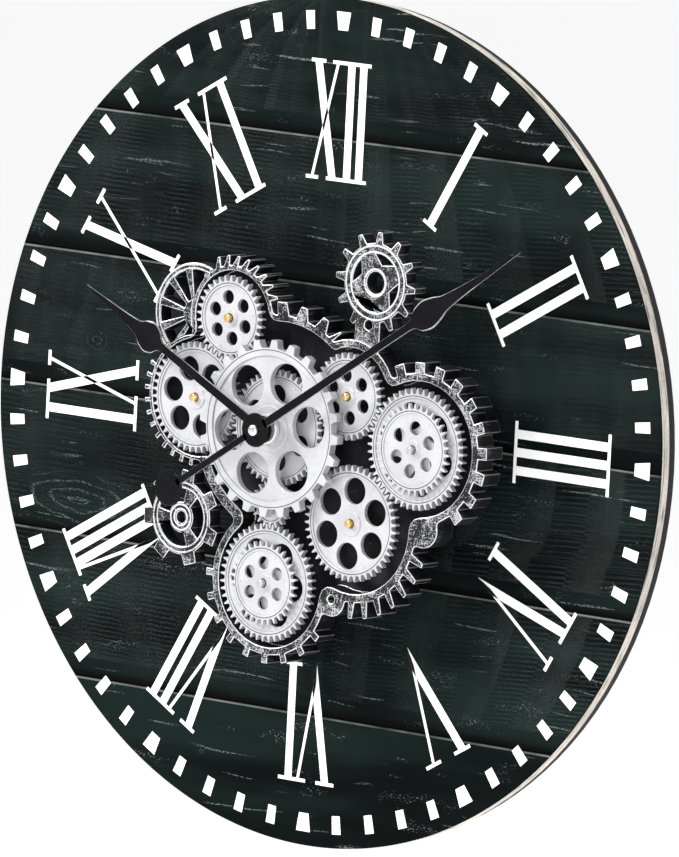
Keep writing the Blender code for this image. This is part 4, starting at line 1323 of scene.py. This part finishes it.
@dataclass
class WallSide:
    """Housing, rear cover, door, switch, knob and what the housing holds."""

    cell_radius: float = 7.1

    def cell(self, bench: Bench, node: str) -> None:
        """A cell: its profile turned about its own length, with a cap at one end."""
        low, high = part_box(node)
        middle = (low + high) / 2
        reach, radius = (high.x - low.x) / 2 / MM, self.cell_radius
        profile = eased([(0.0, reach), (2.6, reach), (2.6, reach - 1.0), (radius, reach - 1.0),
                         (radius, -reach + 0.3), (radius - 0.4, -reach), (0.0, -reach)], 0.3)
        angle = np.linspace(0, math.tau, 48, endpoint=False)[:, None]
        points = np.stack(np.broadcast_arrays(
            middle.x + profile[:, 1] * MM, middle.y + profile[:, 0] * MM * np.cos(angle),
            middle.z + profile[:, 0] * MM * np.sin(angle)), axis=-1)
        length = profile[:-1, 1]
        finish = np.where((length > reach - 6.0) | (length < -reach + 1.0), 1, 0)
        item = make_object(node + "_wrapped", grid(points, (True, False), finish))
        bench.stand_for(item, node, Coat.CELL, Coat.NICKEL)

    def build(self, bench: Bench) -> None:
        """Ease the moulded pieces and turn the knob and cells."""
        for node, width, coat in (("movement_housing", 0.6, Coat.BLACK),
                                  ("rear_cover", 0.35, Coat.BLACK),
                                  ("quartz_movement", 0.6, Coat.BLACK),
                                  ("battery_holder", 0.4, Coat.BLACK),
                                  ("switch_body", 0.5, Coat.BLACK),
                                  ("battery_door", 0.35, Coat.GREY),
                                  ("switch_slider", 0.4, Coat.GREY),
                                  ("hanger_plate", 0.25, Coat.STEEL)):
            bench.eased_copy(node, width, coat)
        bench.keep("gear_motor", Coat.STEEL)
        bench.keep("back_board", Coat.CHARCOAL)
        low, high = bench.lifts("set_knob")
        knob = turned([(0.0, high), (2.0, high), (2.0, 5.0), (7.7, 5.0), (7.7, low), (0.0, low)],
                      bench.middle("set_knob"), 0.4, 192, flutes=24, depth=0.025)
        bench.stand_for(make_object("set_knob_fluted", knob), "set_knob", Coat.GREY)
        for node in ("clock_cell", "motor_cell_upper", "motor_cell_lower"):
            self.cell(bench, node)


# ------------------------------------------------------------------ studio

@dataclass
class Studio:
    """Camera, soft lights and a pale floor."""

    azimuth: float = 38.888
    elevation: float = 7.016
    roll: float = 2.891
    distance: float = 8.372
    lens: float = 501.5
    target: tuple[float, float, float] = (0.01465, -0.0165, -0.0020)
    floor_z: float = -1.2
    sky: float = 0.5
    floor_tone: Colour = (0.85, 0.85, 0.85)
    floor_glow: float = 0.5

    def camera(self) -> None:
        """Stand the camera on its bearing from the target and roll it about its own line."""
        turn, rise, roll = (math.radians(v) for v in (self.azimuth, self.elevation, self.roll))
        back = Vector((math.sin(turn) * math.cos(rise), -math.cos(turn) * math.cos(rise),
                       math.sin(rise)))
        right = Vector((math.cos(turn), math.sin(turn), 0.0))
        above = back.cross(right)
        tilted = right * math.cos(roll) + above * math.sin(roll)
        upright = back.cross(tilted)
        data = bpy.data.cameras.new("camera")
        data.lens = self.lens
        data.sensor_width = 36.0
        data.clip_end = 200.0
        matrix = Matrix((tilted, upright, back)).transposed().to_4x4()
        matrix.translation = Vector(self.target) + back * self.distance
        item = self.stand("camera", data)
        item.matrix_world = matrix
        bpy.context.scene.camera = item

    def stand(self, name: str, data: bpy.types.ID) -> bpy.types.Object:
        """Put a camera or a light into the scene."""
        item = bpy.data.objects.new(name, data)
        bpy.context.scene.collection.objects.link(item)
        return item

    def light(self, name: str, at: tuple[float, float, float], size: float, power: float) -> None:
        """A square soft light that faces the clock."""
        data = bpy.data.lights.new(name, "AREA")
        data.size = size
        data.energy = power
        item = self.stand(name, data)
        item.location = at
        item.rotation_euler = Vector(at).to_track_quat("Z", "Y").to_euler()

    def build(self) -> None:
        """Set up the world, the floor, the lights and the camera."""
        world = bpy.data.worlds.new("studio")
        world.use_nodes = True
        sky = world.node_tree.nodes["Background"]
        sky.inputs["Color"].default_value = (1.0, 1.0, 1.0, 1.0)
        sky.inputs["Strength"].default_value = self.sky
        bpy.context.scene.world = world
        bpy.context.scene.view_settings.view_transform = "Standard"
        bpy.ops.mesh.primitive_plane_add(size=120.0, location=(0.0, 0.0, self.floor_z))
        floor = bpy.context.object
        floor.name = "floor"
        made, shader, surface = new_material("pale_floor", (0.9, 0.9, 0.9))
        for key, value in (("Base Color", self.floor_tone), ("Emission Color", (1.0, 1.0, 1.0)),
                           ("Emission Strength", self.floor_glow), ("Roughness", 0.9)):
            shader.feed(surface.inputs[key], value)
        floor.data.materials.append(made)
        floor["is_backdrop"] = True
        self.light("key_light", (-2.6, -2.4, 2.0), 1.3, 230.0)
        self.light("fill_light", (2.2, -3.4, 0.8), 2.4, 60.0)
        self.light("top_light", (0.2, -1.2, 3.0), 1.6, 60.0)
        self.camera()


def main() -> None:
    """Build every sub-assembly round the frame."""
    logging.basicConfig(level=logging.INFO, format="%(name)s: %(message)s")
    bench = Bench()
    Studio().build()
    Dial().build(bench)
    TrayAndTrims().build(bench)
    for gear in GEARS:
        gear.build(bench)
    Fittings().build(bench)
    for hand in HANDS:
        hand.build(bench)
    WallSide().build(bench)


if __name__ == "__main__":
    main()
